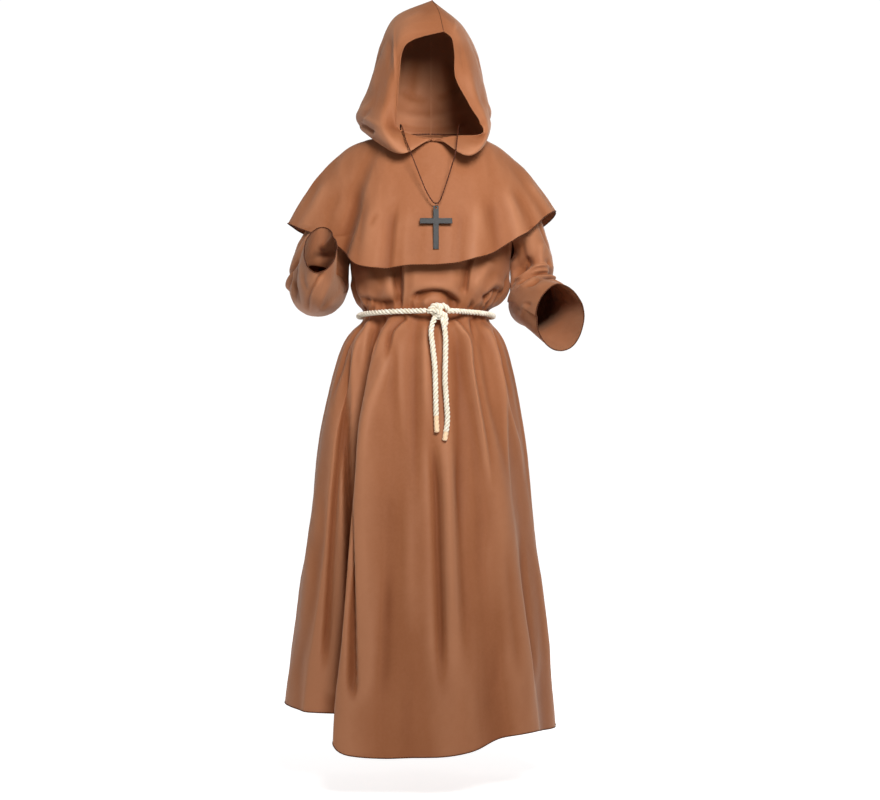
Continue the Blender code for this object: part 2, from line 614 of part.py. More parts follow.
def solid(name, vertices, faces, finish):
    """Make an object of one closed mesh."""
    mesh = bpy.data.meshes.new(name)
    mesh.from_pydata([tuple(point) for point in vertices], [], faces)
    mesh.materials.append(finish)
    mesh.shade_smooth()
    mesh.set_sharp_from_angle(angle=math.radians(50))
    item = bpy.data.objects.new(name, mesh)
    bpy.context.collection.objects.link(item)
    return item


def cloth(name, rows, normals, closed, finish):
    """A cloth wall: a grid's points, the same points moved in, and the edges between them."""
    height, width = len(rows), len(rows[0])
    count = height * width
    outer = [point for line in rows for point in line]
    inner = [point - normal * WALL for line, ways in zip(rows, normals)
             for point, normal in zip(line, ways)]
    faces = []
    for i in range(height - 1):
        for j in range(width if closed else width - 1):
            k = (j + 1) % width
            a, b = i * width + j, i * width + k
            c, d = a + width, b + width
            faces.append((a, b, d, c))
            faces.append((a + count, c + count, d + count, b + count))
    top = count - width
    for j in range(width if closed else width - 1):
        k = (j + 1) % width
        faces.append((k, j, j + count, k + count))
        faces.append((top + j, top + k, top + k + count, top + j + count))
    if not closed:
        for i in range(height - 1):
            a, c = i * width, (i + 1) * width
            faces.append((a, c, c + count, a + count))
            b, d = a + width - 1, c + width - 1
            faces.append((d, b, b + count, d + count))
    return solid(name, outer + inner, faces, finish)


def build_robe(finish):
    """The robe's front and back, joined at the sides and shoulders."""
    front = robe_grid(FRONT_SPANS, 1)
    back = robe_grid(BACK_SPANS, -1)
    front_normals = grid_normals(front, False)
    back_normals = grid_normals(back, False)
    side_rows = len(SKIRT_STEPS) + len(CHEST_LEVELS) + 1
    slope = Vector((NECK_SIDE_Z - SHOULDER_TIP[2], 0.0, SHOULDER_TIP[0] - NECK_HALF_WIDTH)).normalized()
    front_last, back_last = len(front[0]) - 1, len(back[0]) - 1
    for front_column, back_column in ((front_last, 0), (0, back_last)):
        share_normals(front_normals, [(row, front_column) for row in range(side_rows)],
                      back_normals, [(row, back_column) for row in range(side_rows)])
    for rows, normals, last in ((front, front_normals, front_last), (back, back_normals, back_last)):
        for point, normal in zip(rows[-1], normals[-1]):
            if abs(point.x) > NECK_HALF_WIDTH - SEAM_GAP:
                normal.x, normal.y, normal.z = math.copysign(slope.x, point.x), 0.0, slope.z
        for column, inner in ((0, 1), (last, last - 1)):
            spots = [(row, column) for row in range(len(rows))]
            pull_edge(rows, spots, [(row, inner) for row in range(len(rows))])
        top = len(rows) - 1
        pull_edge(rows, [(top, column) for column in range(last + 1)],
                  [(top - 1, column) for column in range(last + 1)])
    cloth("robe_front", front, front_normals, False, finish)
    cloth("robe_back", back, back_normals, False, finish)


def build_sleeves(finish):
    """Both sleeves, from the armholes to the open cuffs."""
    for name, side, table in (("sleeve_right", -1, RIGHT_SLEEVE), ("sleeve_left", 1, LEFT_SLEEVE)):
        rows = sleeve_grid(side, table)
        cloth(name, rows, grid_normals(rows, True), True, finish)


def build_cape(finish):
    """The capelet's front and back, joined over the shoulders."""
    front = cape_grid(CAPE_FRONT_SPANS)
    back = cape_grid(CAPE_BACK_SPANS)
    front_normals = grid_normals(front, False)
    back_normals = grid_normals(back, False)
    front_last, back_last = len(front[0]) - 1, len(back[0]) - 1
    every = range(len(front))
    for front_column, back_column in ((front_last, 0), (0, back_last)):
        share_normals(front_normals, [(row, front_column) for row in every],
                      back_normals, [(row, back_column) for row in every])
    for rows, last in ((front, front_last), (back, back_last)):
        for column, inner in ((0, 1), (last, last - 1)):
            pull_edge(rows, [(row, column) for row in every], [(row, inner) for row in every])
    cloth("cape_front", front, front_normals, False, finish)
    cloth("cape_back", back, back_normals, False, finish)


def build_hood(finish):
    """The hood's two halves, joined from the brow over the top and down to the nape."""
    right = hood_grid(HOOD_RIGHT, -1)
    left = hood_grid(HOOD_LEFT, 1)
    right_normals = grid_normals(right, False)
    left_normals = grid_normals(left, False)
    even_out(right_normals, 1)
    even_out(left_normals, 1)
    last, top = HOOD_COLUMNS - 1, HOOD_ROWS - 1
    back_rows = range(HOOD_ROWS)
    share_normals(right_normals, [(row, 0) for row in back_rows],
                  left_normals, [(row, last) for row in back_rows])
    columns = range(HOOD_COLUMNS)
    share_normals(right_normals, [(top, last - column) for column in columns],
                  left_normals, [(top, column) for column in columns])
    for rows, column, inner in ((right, 0, 1), (left, last, last - 1)):
        pull_edge(rows, [(row, column) for row in back_rows], [(row, inner) for row in back_rows])
        pull_edge(rows, [(top, place) for place in columns], [(top - 1, place) for place in columns])
    cloth("hood_right", right, right_normals, False, finish)
    cloth("hood_left", left, left_normals, False, finish)


def smooth_route(route, count):
    """Points at even steps along a smooth curve through a route's points."""
    lengths = [0.0]
    for here, there in zip(route, route[1:]):
        lengths.append(lengths[-1] + (Vector(there) - Vector(here)).length)
    marked = [(length, *point) for length, point in zip(lengths, route)]
    return [Vector(interpolate(marked, lengths[-1] * step / (count - 1))) for step in range(count)]


def tube(name, points, radius, resolution, finish):
    """A round cord along points, closed at both ends."""
    curve = bpy.data.curves.new(name, "CURVE")
    curve.dimensions = "3D"
    curve.bevel_depth = radius
    curve.bevel_resolution = resolution
    curve.use_fill_caps = True
    spline = curve.splines.new("POLY")
    spline.points.add(len(points) - 1)
    for spot, point in zip(spline.points, points):
        spot.co = (*point, 1.0)
    curve.materials.append(finish)
    item = bpy.data.objects.new(name, curve)
    bpy.context.collection.objects.link(item)
    return item


def belt_points():
    """The belt's middle line, from one side of the knot round the waist to the other."""
    points = []
    knot_x = KNOT_CENTRE[0]
    for step in range(BELT_STEPS + 1):
        angle = 360.0 * step / BELT_STEPS
        ahead = math.cos(math.radians(angle))
        height = BELT_SIDE_Z + (BELT_FRONT_Z - BELT_SIDE_Z) * max(ahead, 0.0)
        ring = robe_ring(angle, WAIST)
        ahead_way = (robe_ring(angle + 1.0, WAIST) - robe_ring(angle - 1.0, WAIST)).normalized()
        outward = ahead_way.cross(Vector((0.0, 0.0, 1.0)))
        point = ring + outward * (ROPE_RADIUS + BELT_CLEARANCE)
        point.z = height
        if ahead > 0.0:
            near_knot = 1.0 - smooth((abs(point.x - knot_x) - KNOT_HALF_GAP) / BELT_JOINS_KNOT)
            point.y += (KNOT_CENTRE[1] - point.y) * near_knot
        if ahead < 0.0 or abs(point.x - knot_x) > KNOT_HALF_GAP + SEAM_GAP:
            points.append(point)
    start = max(range(len(points)), key=lambda index: (points[index] - points[index - 1]).length)
    points = points[start:] + points[:start]
    return smooth_route([tuple(point) for point in points], BELT_POINTS)


def lobe(middle, sizes, finish):
    """One rounded lobe of the knot."""
    bpy.ops.mesh.primitive_uv_sphere_add(segments=14, ring_count=9, radius=1.0)
    item = bpy.context.active_object
    item.data.transform(Matrix.Diagonal((*sizes, 1.0)))
    item.data.transform(Matrix.Translation(middle))
    item.data.materials.append(finish)
    return item


def build_knot(finish):
    """The belt's knot, three lobes in one."""
    parts = []
    for row in KNOT_LOBES:
        middle = Vector(KNOT_CENTRE) + Vector(row[0:3])
        parts.append(lobe(middle, row[3:6], finish))
    knot = parts[0]
    knot.name = "belt_knot"
    knot.data.name = "belt_knot"
    for other in parts[1:]:
        other.hide_render = True
        other.display_type = "WIRE"
        join = knot.modifiers.new("join", "BOOLEAN")
        join.operation = "UNION"
        join.object = other
    return knot


def build_belt(finish):
    """The rope round the waist, its knot and its two hanging ends."""
    tube("belt_loop", belt_points(), ROPE_RADIUS, 2, finish)
    build_knot(finish)
    tube("belt_end_right", smooth_route(BELT_END_RIGHT, END_POINTS), ROPE_RADIUS, 2, finish)
    tube("belt_end_left", smooth_route(BELT_END_LEFT, END_POINTS), ROPE_RADIUS, 2, finish)


def add_outline(curve, corners):
    """Add one closed outline to a flat curve."""
    spline = curve.splines.new("POLY")
    spline.points.add(len(corners) - 1)
    spline.use_cyclic_u = True
    for spot, (x, z) in zip(spline.points, corners):
        spot.co = (x, z, 0.0, 1.0)


def build_cross(metal, wire):
    """The cross with its hole and the small ring, hung from the cord's lowest point."""
    lowest = Vector(CORD_ROUTE[CORD_LOWEST])
    ring_drop = RING_RADIUS - RING_WIRE - CORD_RADIUS - CORD_PLAY
    ring_middle = lowest - Vector((0.0, 0.0, ring_drop))
    hole_middle = ring_middle.z - (RING_RADIUS - RING_WIRE) + RING_PLAY - CROSS_HOLE
    top = hole_middle + CROSS_HOLE_DROP - lowest.z
    bar, arm = 0.5 * CROSS_BAR, 0.5 * CROSS_WIDTH
    arm_top, arm_low = top - CROSS_ARM_DROP + bar, top - CROSS_ARM_DROP - bar
    foot = top - CROSS_HEIGHT
    curve = bpy.data.curves.new("cross", "CURVE")
    curve.dimensions = "2D"
    curve.fill_mode = "BOTH"
    curve.extrude = 0.5 * CROSS_THICK - CROSS_EDGE
    curve.bevel_depth = CROSS_EDGE
    curve.bevel_resolution = 0
    curve.offset = -CROSS_EDGE
    half = [(bar, top), (bar, arm_top), (arm, arm_top), (arm, arm_low), (bar, arm_low), (bar, foot)]
    add_outline(curve, half + [(-x, z) for x, z in reversed(half)])
    turns = [math.tau * step / HOLE_SIDES for step in range(HOLE_SIDES)]
    add_outline(curve, [(CROSS_HOLE * math.sin(turn),
                         hole_middle - lowest.z + CROSS_HOLE * math.cos(turn)) for turn in turns])
    curve.materials.append(metal)
    item = bpy.data.objects.new("cross", curve)
    bpy.context.collection.objects.link(item)
    item.location = lowest
    item.rotation_euler = (math.radians(90.0 + CROSS_LEAN), 0.0, 0.0)
    bpy.ops.mesh.primitive_torus_add(major_segments=RING_TURNS, minor_segments=8,
                                     major_radius=RING_RADIUS, minor_radius=RING_WIRE)
    ring = bpy.context.active_object
    ring.name = "jump_ring"
    ring.data.transform(Matrix.Rotation(math.pi / 2, 4, "Y"))
    ring.data.transform(Matrix.Translation(ring_middle - lowest))
    ring.data.materials.append(wire)
    ring.location = lowest
    ring.rotation_euler = (math.radians(CROSS_LEAN), 0.0, 0.0)


def main():
    """Build the whole costume."""
    remove_everything()
    brown = (0.342, 0.122, 0.051)
    build_robe(material("robe cloth", brown, 0.75))
    build_sleeves(material("sleeve cloth", brown, 0.75))
    build_cape(material("capelet cloth", brown, 0.75))
    build_hood(material("hood cloth", brown, 0.75))
    build_belt(material("rope", (0.88, 0.82, 0.68), 0.85))
    tube("necklace_cord", smooth_route(CORD_ROUTE, CORD_POINTS), CORD_RADIUS, 2,
         material("necklace cord", (0.085, 0.020, 0.008), 0.7))
    build_cross(material("cross metal", (0.045, 0.045, 0.045), 0.45, 0.9),
                material("ring wire", (0.10, 0.09, 0.08), 0.4, 1.0))


main()
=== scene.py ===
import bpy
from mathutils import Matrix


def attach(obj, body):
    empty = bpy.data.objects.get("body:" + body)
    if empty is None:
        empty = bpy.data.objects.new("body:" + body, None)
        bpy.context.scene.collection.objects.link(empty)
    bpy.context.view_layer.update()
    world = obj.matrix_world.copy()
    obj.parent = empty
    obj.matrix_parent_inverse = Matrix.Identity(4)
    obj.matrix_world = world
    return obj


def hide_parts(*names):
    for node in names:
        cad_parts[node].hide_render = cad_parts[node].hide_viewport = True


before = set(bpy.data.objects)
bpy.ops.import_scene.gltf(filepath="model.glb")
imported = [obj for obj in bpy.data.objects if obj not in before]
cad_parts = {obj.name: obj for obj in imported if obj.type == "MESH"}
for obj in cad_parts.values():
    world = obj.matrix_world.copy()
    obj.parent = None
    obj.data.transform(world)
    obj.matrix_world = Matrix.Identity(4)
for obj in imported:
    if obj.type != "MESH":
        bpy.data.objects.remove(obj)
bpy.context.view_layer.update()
import math

import bpy
import numpy as np
from mathutils import Matrix, Vector

# Heights of the robe's main levels, in metres
WAIST = -0.388
UNDERARM = -0.262

# Robe sections: height, x of the garment's right side and of its left side, front y, back y
ROBE_SECTIONS = [
    (-1.360, -0.325, 0.276, -0.285, 0.235),
    (-1.240, -0.316, 0.266, -0.268, 0.222),
    (-1.120, -0.297, 0.256, -0.250, 0.208),
    (-1.000, -0.282, 0.242, -0.232, 0.195),
    (-0.880, -0.268, 0.230, -0.214, 0.183),
    (-0.760, -0.252, 0.216, -0.196, 0.172),
    (-0.660, -0.240, 0.206, -0.181, 0.163),
    (-0.580, -0.224, 0.193, -0.168, 0.156),
    (-0.510, -0.207, 0.179, -0.155, 0.148),
    (-0.460, -0.192, 0.166, -0.144, 0.138),
    (-0.425, -0.172, 0.150, -0.130, 0.122),
    (-0.400, -0.153, 0.135, -0.117, 0.106),
    (-0.388, -0.150, 0.132, -0.115, 0.104),
    (-0.376, -0.152, 0.134, -0.116, 0.105),
    (-0.360, -0.163, 0.153, -0.124, 0.113),
    (-0.340, -0.170, 0.169, -0.134, 0.120),
    (-0.315, -0.176, 0.177, -0.140, 0.124),
    (-0.262, -0.182, 0.182, -0.138, 0.122),
]
ROBE_MID_Y = 0.004
ROUNDNESS = 0.92

# Hem height round the robe: angle, height
HEM_HEIGHTS = [
    (-180, -1.300), (-135, -1.282), (-90, -1.255), (-60, -1.262), (-44, -1.272), (-34, -1.300),
    (-22, -1.338), (0, -1.341), (20, -1.330), (38, -1.308), (55, -1.302), (72, -1.314),
    (90, -1.317), (135, -1.300), (180, -1.300),
]

# Skirt folds: angle at the waist, angle at the hem, half width at the hem, height of the ridge
# at the hem (a furrow is negative), lean to the garment's left, and how soon the fold is full
SKIRT_FOLDS = [
    (-78, -76, 17, 0.014, 0.000, 0.5),
    (-47, -44, 15, -0.085, 0.024, 0.35),
    (-28, -26, 13, 0.022, -0.026, 0.35),
    (-8, -4, 15, -0.008, 0.000, 0.6),
    (12, 14, 16, 0.010, 0.000, 0.7),
    (24, 34, 13, -0.012, 0.000, 0.6),
    (38, 52, 16, 0.016, 0.004, 0.6),
    (60, 72, 15, -0.012, 0.000, 0.7),
    (84, 90, 16, 0.012, 0.000, 0.8),
    (104, 110, 15, -0.022, 0.006, 0.5),
    (124, 130, 17, 0.016, 0.000, 0.6),
    (146, 150, 14, -0.026, 0.000, 0.5),
    (168, 170, 17, 0.018, 0.000, 0.6),
    (188, 190, 14, -0.024, -0.006, 0.5),
    (208, 211, 17, 0.016, 0.000, 0.6),
    (232, 234, 14, -0.026, 0.006, 0.5),
    (254, 258, 16, 0.014, 0.000, 0.7),
]

# Gathers close under and over the belt: angle, half width, height at the belt
WAIST_GATHERS = [
    (-66, 7, -0.005), (-50, 7, 0.005), (-34, 8, -0.006), (-18, 8, 0.005), (-5, 6, -0.004),
    (22, 7, -0.005), (36, 7, 0.005), (50, 7, -0.006), (66, 7, 0.004), (110, 8, -0.005),
    (126, 7, 0.005), (142, 8, -0.006), (160, 8, 0.005), (178, 8, -0.006), (196, 8, 0.005),
    (214, 8, -0.006), (232, 8, 0.005), (250, 8, -0.005),
]
GATHER_REACH = 0.085
GATHER_SHARE = 0.7

# Folds of the bloused chest: angle, half width, height, level of the middle, reach up and down
CHEST_FOLDS = [
    (-62, 16, 0.010, -0.350, 0.055), (-40, 12, -0.010, -0.330, 0.075),
    (-18, 10, -0.009, -0.330, 0.080), (4, 15, 0.007, -0.350, 0.050),
    (24, 11, -0.008, -0.325, 0.080), (52, 16, 0.009, -0.350, 0.060),
    (120, 14, -0.008, -0.325, 0.080), (150, 16, 0.008, -0.350, 0.060),
    (180, 12, -0.008, -0.325, 0.080), (210, 16, 0.008, -0.350, 0.060),
    (238, 14, -0.008, -0.325, 0.080),
]

# Yoke of the robe over the shoulders
SHOULDER_TIP = (0.195, 0.004, -0.068)
ARMHOLE_DEPTH = 0.068
ARMHOLE_POINTED = 1.4
NECK_HALF_WIDTH = 0.072
NECK_FRONT = -0.092
NECK_BACK = 0.074
NECK_SIDE_Z = 0.012
NECK_FRONT_Z = 0.002
NECK_BACK_Z = 0.030
NECK_SHARE = 0.46
YOKE_RISE = (0.0, 0.0, 0.10)
YOKE_AT_NECK = (0.0, -0.026, -0.055)
YOKE_AT_SHOULDER = (0.0, -0.062, -0.010)
YOKE_JOINS_ARMHOLE = 0.62

# How far a sleeve's first ring stands off its armhole
ARMHOLE_GAP = 0.0006

# Sleeve rings: middle x, y, z; reach towards the crook x, y, z; spread to the outer side x, y, z
RIGHT_SLEEVE = [
    (-0.2080, 0.004, -0.190, 0, -0.074, 0.002, -0.0200, 0, 0.078),
    (-0.2250, 0.004, -0.222, 0, -0.073, 0.008, -0.0350, 0, 0.058),
    (-0.2430, 0.006, -0.256, 0, -0.072, 0.018, -0.0530, 0, 0.038),
    (-0.2540, 0.010, -0.295, 0, -0.070, 0.033, -0.0650, 0, 0.015),
    (-0.2550, -0.006, -0.322, 0, -0.052, 0.050, -0.0660, 0, 0.008),
    (-0.2550, -0.040, -0.333, 0, -0.020, 0.056, -0.0620, 0, 0.004),
    (-0.2550, -0.083, -0.334, 0, 0.017, 0.058, -0.0560, 0, 0.000),
    (-0.2540, -0.123, -0.327, 0, 0.047, 0.061, -0.0500, 0, 0.000),
    (-0.2500, -0.158, -0.308, 0, 0.067, 0.060, -0.0440, 0, 0.000),
    (-0.2440, -0.181, -0.283, 0, 0.077, 0.057, -0.0400, 0, 0.000),
    (-0.2370, -0.198, -0.253, 0, 0.080, 0.055, -0.0350, 0, 0.000),
]
LEFT_SLEEVE = [
    (0.2080, 0.004, -0.190, 0, -0.074, 0.002, 0.0200, 0, 0.078),
    (0.2200, 0.005, -0.225, 0, -0.073, 0.006, 0.0300, 0, 0.060),
    (0.2280, 0.006, -0.258, 0, -0.071, 0.012, 0.0370, 0, 0.044),
    (0.2330, 0.008, -0.288, 0, -0.069, 0.024, 0.0440, 0, 0.033),
    (0.2330, 0.010, -0.323, 0, -0.074, 0.037, 0.0490, 0, 0.016),
    (0.2290, -0.008, -0.350, 0, -0.062, 0.052, 0.0520, 0, 0.008),
    (0.2320, -0.045, -0.358, 0, -0.035, 0.055, 0.0520, 0.004, 0.000),
    (0.2430, -0.092, -0.367, 0, -0.013, 0.058, 0.0510, 0.010, 0.000),
    (0.2590, -0.137, -0.380, 0, -0.003, 0.065, 0.0510, 0.014, 0.000),
    (0.2730, -0.175, -0.392, 0, 0.005, 0.070, 0.0520, 0.015, 0.000),
    (0.2830, -0.203, -0.400, 0, 0.012, 0.073, 0.0520, 0.016, 0.000),
]

# Capelet hem: angle, x, y, z
CAPE_HEM = [
    (-90, -0.325, 0.005, -0.177), (-79, -0.285, -0.040, -0.196), (-69, -0.236, -0.078, -0.216),
    (-59, -0.198, -0.104, -0.247), (-49, -0.178, -0.136, -0.268), (-38, -0.145, -0.158, -0.285),
    (-26, -0.104, -0.168, -0.290), (-10, -0.036, -0.173, -0.284), (8, 0.030, -0.172, -0.282),
    (24, 0.088, -0.166, -0.272), (39, 0.147, -0.150, -0.252), (55, 0.204, -0.115, -0.215),
    (72, 0.252, -0.062, -0.172), (90, 0.288, 0.004, -0.150), (108, 0.262, 0.065, -0.185),
    (125, 0.212, 0.115, -0.225), (145, 0.148, 0.148, -0.262), (165, 0.070, 0.162, -0.285),
    (180, 0.000, 0.164, -0.290), (195, -0.070, 0.162, -0.288), (215, -0.152, 0.150, -0.272),
    (235, -0.222, 0.120, -0.240), (252, -0.282, 0.072, -0.205), (270, -0.325, 0.005, -0.177),
]
CAPE_NECK_HALF_WIDTH = 0.090
CAPE_NECK_FRONT = -0.101
CAPE_NECK_BACK = 0.088
CAPE_NECK_Z = (-0.006, 0.018, 0.034)
CAPE_SPREAD = (0.74, 0.98)
CAPE_DROP = (1.0, 1.75, 2.2)

# Capelet folds: angle, half width, height at the hem, share of the length where it starts
CAPE_FOLDS = [
    (-60, 12, -0.006, 0.35), (-44, 11, 0.007, 0.30), (-16, 14, -0.005, 0.45),
    (18, 15, 0.004, 0.50), (46, 13, -0.007, 0.35), (64, 12, 0.006, 0.30),
    (112, 15, -0.010, 0.30), (136, 14, 0.009, 0.30), (160, 14, -0.009, 0.35),
    (184, 15, 0.009, 0.30), (208, 14, -0.009, 0.35), (230, 14, 0.009, 0.30),
    (250, 12, -0.008, 0.30),
]

# Hood levels from the neck seam to the top seam. Each half has, at a level: the face edge
# x, y, z, the cheek x, y, z and the side x, y, z. The centre seam is shared: x, y, z.
HOOD_LEVELS = (0.0, 0.06, 0.13, 0.20, 0.29, 0.42, 0.56, 0.74, 0.88, 1.0)
HOOD_RIGHT = [
    (0.012, -0.1025, -0.0050, -0.066, -0.074, 0.0090, -0.0910, 0.004, 0.0195),
    (0.011, -0.1075, -0.0035, -0.070, -0.114, -0.0080, -0.1330, 0.002, 0.0290),
    (-0.004, -0.1165, -0.0010, -0.068, -0.148, -0.0390, -0.1590, 0.000, 0.0370),
    (-0.031, -0.1240, 0.0030, -0.094, -0.148, -0.0120, -0.1660, 0.000, 0.0560),
    (-0.071, -0.1210, 0.0230, -0.112, -0.126, 0.0350, -0.1600, 0.000, 0.0840),
    (-0.0725, -0.1220, 0.0770, -0.104, -0.108, 0.0850, -0.1460, 0.000, 0.1190),
    (-0.0680, -0.1220, 0.1350, -0.095, -0.102, 0.1400, -0.1290, 0.000, 0.1680),
    (-0.0600, -0.1220, 0.1950, -0.084, -0.096, 0.2010, -0.1110, 0.000, 0.2320),
    (-0.0330, -0.1200, 0.2200, -0.058, -0.088, 0.2540, -0.0765, -0.006, 0.2920),
    (0.0310, -0.1120, 0.2380, 0.020, -0.074, 0.2880, 0.0045, -0.020, 0.3240),
]
HOOD_LEFT = [
    (0.013, -0.1025, -0.0050, 0.070, -0.074, 0.0090, 0.0910, 0.004, 0.0195),
    (0.0155, -0.1078, -0.0035, 0.079, -0.114, -0.0090, 0.1150, 0.002, 0.0260),
    (0.0235, -0.1168, -0.0010, 0.086, -0.149, -0.0420, 0.1310, 0.000, 0.0290),
    (0.045, -0.1215, 0.0030, 0.110, -0.148, -0.0290, 0.1360, 0.000, 0.0440),
    (0.118, -0.1290, 0.0100, 0.131, -0.112, 0.0190, 0.1360, 0.000, 0.0680),
    (0.0880, -0.1300, 0.0720, 0.115, -0.107, 0.0840, 0.1295, 0.000, 0.1110),
    (0.0580, -0.1240, 0.1300, 0.092, -0.102, 0.1380, 0.1200, 0.000, 0.1620),
    (0.0550, -0.1220, 0.1850, 0.082, -0.095, 0.1920, 0.1030, 0.000, 0.2180),
    (0.0490, -0.1180, 0.2200, 0.062, -0.088, 0.2460, 0.0710, -0.006, 0.2740),
    (0.0310, -0.1120, 0.2380, 0.020, -0.074, 0.2880, 0.0045, -0.020, 0.3240),
]
HOOD_CENTRE = [
    (0.0, 0.0895, 0.0350), (0.0, 0.118, 0.0300), (0.0, 0.134, 0.0380), (0.0, 0.138, 0.0580),
    (0.0, 0.136, 0.0850), (0.0, 0.132, 0.1200), (0.0, 0.129, 0.1650), (0.0, 0.118, 0.2250),
    (0.0, 0.088, 0.2760), (0.0, 0.050, 0.3040),
]
HOOD_QUARTER = (0.74, 0.72)
HOOD_PLACES = (0.0, 0.28, 0.58, 0.80, 1.0, 1.2)
HOOD_SEAM_ANGLES = [(0.0, 1.0), (0.28, 44.0), (0.58, 92.0), (1.0, 180.0)]
HOOD_SEAM_LIFT = 0.0005
HOOD_SEAM_FADE = 0.11

# Rope belt
ROPE_RADIUS = 0.0060
BELT_CLEARANCE = 0.0055
BELT_FRONT_Z = -0.3825
BELT_SIDE_Z = -0.3895
KNOT_CENTRE = (0.0190, -0.1420, -0.3810)
KNOT_HALF_GAP = 0.0215
BELT_JOINS_KNOT = 0.05
BELT_END_RIGHT = [
    (0.0113, -0.1468, -0.3977), (0.0055, -0.1520, -0.4140), (0.0035, -0.1575, -0.4320),
    (0.0065, -0.1630, -0.4600), (0.0110, -0.1700, -0.5000), (0.0130, -0.1770, -0.5500),
    (0.0140, -0.1840, -0.6000), (0.0160, -0.1905, -0.6480),
]
BELT_END_LEFT = [
    (0.0272, -0.1468, -0.3979), (0.0325, -0.1530, -0.4180), (0.0350, -0.1590, -0.4450),
    (0.0345, -0.1670, -0.4900), (0.0340, -0.1745, -0.5400), (0.0370, -0.1805, -0.5850),
    (0.0385, -0.1850, -0.6250), (0.0330, -0.1900, -0.6660),
]

# The knot's turns of rope, from where the belt comes in to where its ends hang out
KNOT_STRANDS = [
    [(-0.004, -0.1420, -0.3838), (0.0015, -0.1480, -0.3800), (0.0070, -0.1500, -0.3735),
     (0.0150, -0.1510, -0.3710), (0.0215, -0.1510, -0.3765), (0.0225, -0.1500, -0.3860),
     (0.0185, -0.1490, -0.3930), (0.0130, -0.1450, -0.3940), (0.0108, -0.1450, -0.3990),
     (0.0085, -0.1490, -0.4060)],
    [(0.0420, -0.1420, -0.3838), (0.0385, -0.1470, -0.3780), (0.0320, -0.1490, -0.3725),
     (0.0245, -0.1450, -0.3715), (0.0165, -0.1420, -0.3770), (0.0125, -0.1420, -0.3850),
     (0.0185, -0.1440, -0.3905), (0.0280, -0.1475, -0.3890), (0.0345, -0.1500, -0.3950),
     (0.0352, -0.1515, -0.4050), (0.0345, -0.1530, -0.4150)],
    [(0.0045, -0.1450, -0.3870), (0.0095, -0.1520, -0.3835), (0.0165, -0.1550, -0.3840),
     (0.0225, -0.1550, -0.3895), (0.0215, -0.1510, -0.3960), (0.0150, -0.1450, -0.3965)],
]

# Three-strand rope: how far a strand lies from the middle, its radius, and the length of a turn
STRAND_OFFSET = 0.0029
STRAND_RADIUS = 0.0033
ROPE_TURN = 0.028

# Cross on its cord
CORD_RADIUS = 0.0010
CORD_ROUTE = [
    (0.000, 0.0700, 0.0340), (-0.030, 0.0660, 0.0330), (-0.054, 0.0470, 0.0300),
    (-0.066, 0.0100, 0.0290), (-0.066, -0.0400, 0.0300), (-0.065, -0.0900, 0.0330),
    (-0.060, -0.1270, 0.0200), (-0.053, -0.1480, -0.0060), (-0.0425, -0.1600, -0.0340),
    (-0.0260, -0.1610, -0.0760), (-0.0090, -0.1620, -0.1180), (0.0060, -0.1630, -0.1440),
    (0.0140, -0.1632, -0.1490), (0.0220, -0.1630, -0.1440), (0.0330, -0.1620, -0.1150),
    (0.0450, -0.1610, -0.0780), (0.0560, -0.1600, -0.0400), (0.0600, -0.1500, -0.0100),
    (0.0630, -0.1270, 0.0200), (0.0660, -0.0900, 0.0330), (0.0660, -0.0400, 0.0300),
    (0.0660, 0.0100, 0.0290), (0.0540, 0.0470, 0.0300), (0.0300, 0.0660, 0.0330),
    (0.0030, 0.0700, 0.0340),
]
CORD_LOWEST = 12
RING_RADIUS = 0.0060
RING_WIRE = 0.0006
CROSS_HEIGHT = 0.095
CROSS_WIDTH = 0.071
CROSS_BAR = 0.012
CROSS_THICK = 0.004
CROSS_ARM_DROP = 0.033
CROSS_HOLE = 0.0022
CROSS_HOLE_DROP = 0.0045
CROSS_EDGE = 0.0007
CROSS_LEAN = -3.1
RING_PLAY = 0.0008
CORD_PLAY = 0.0014

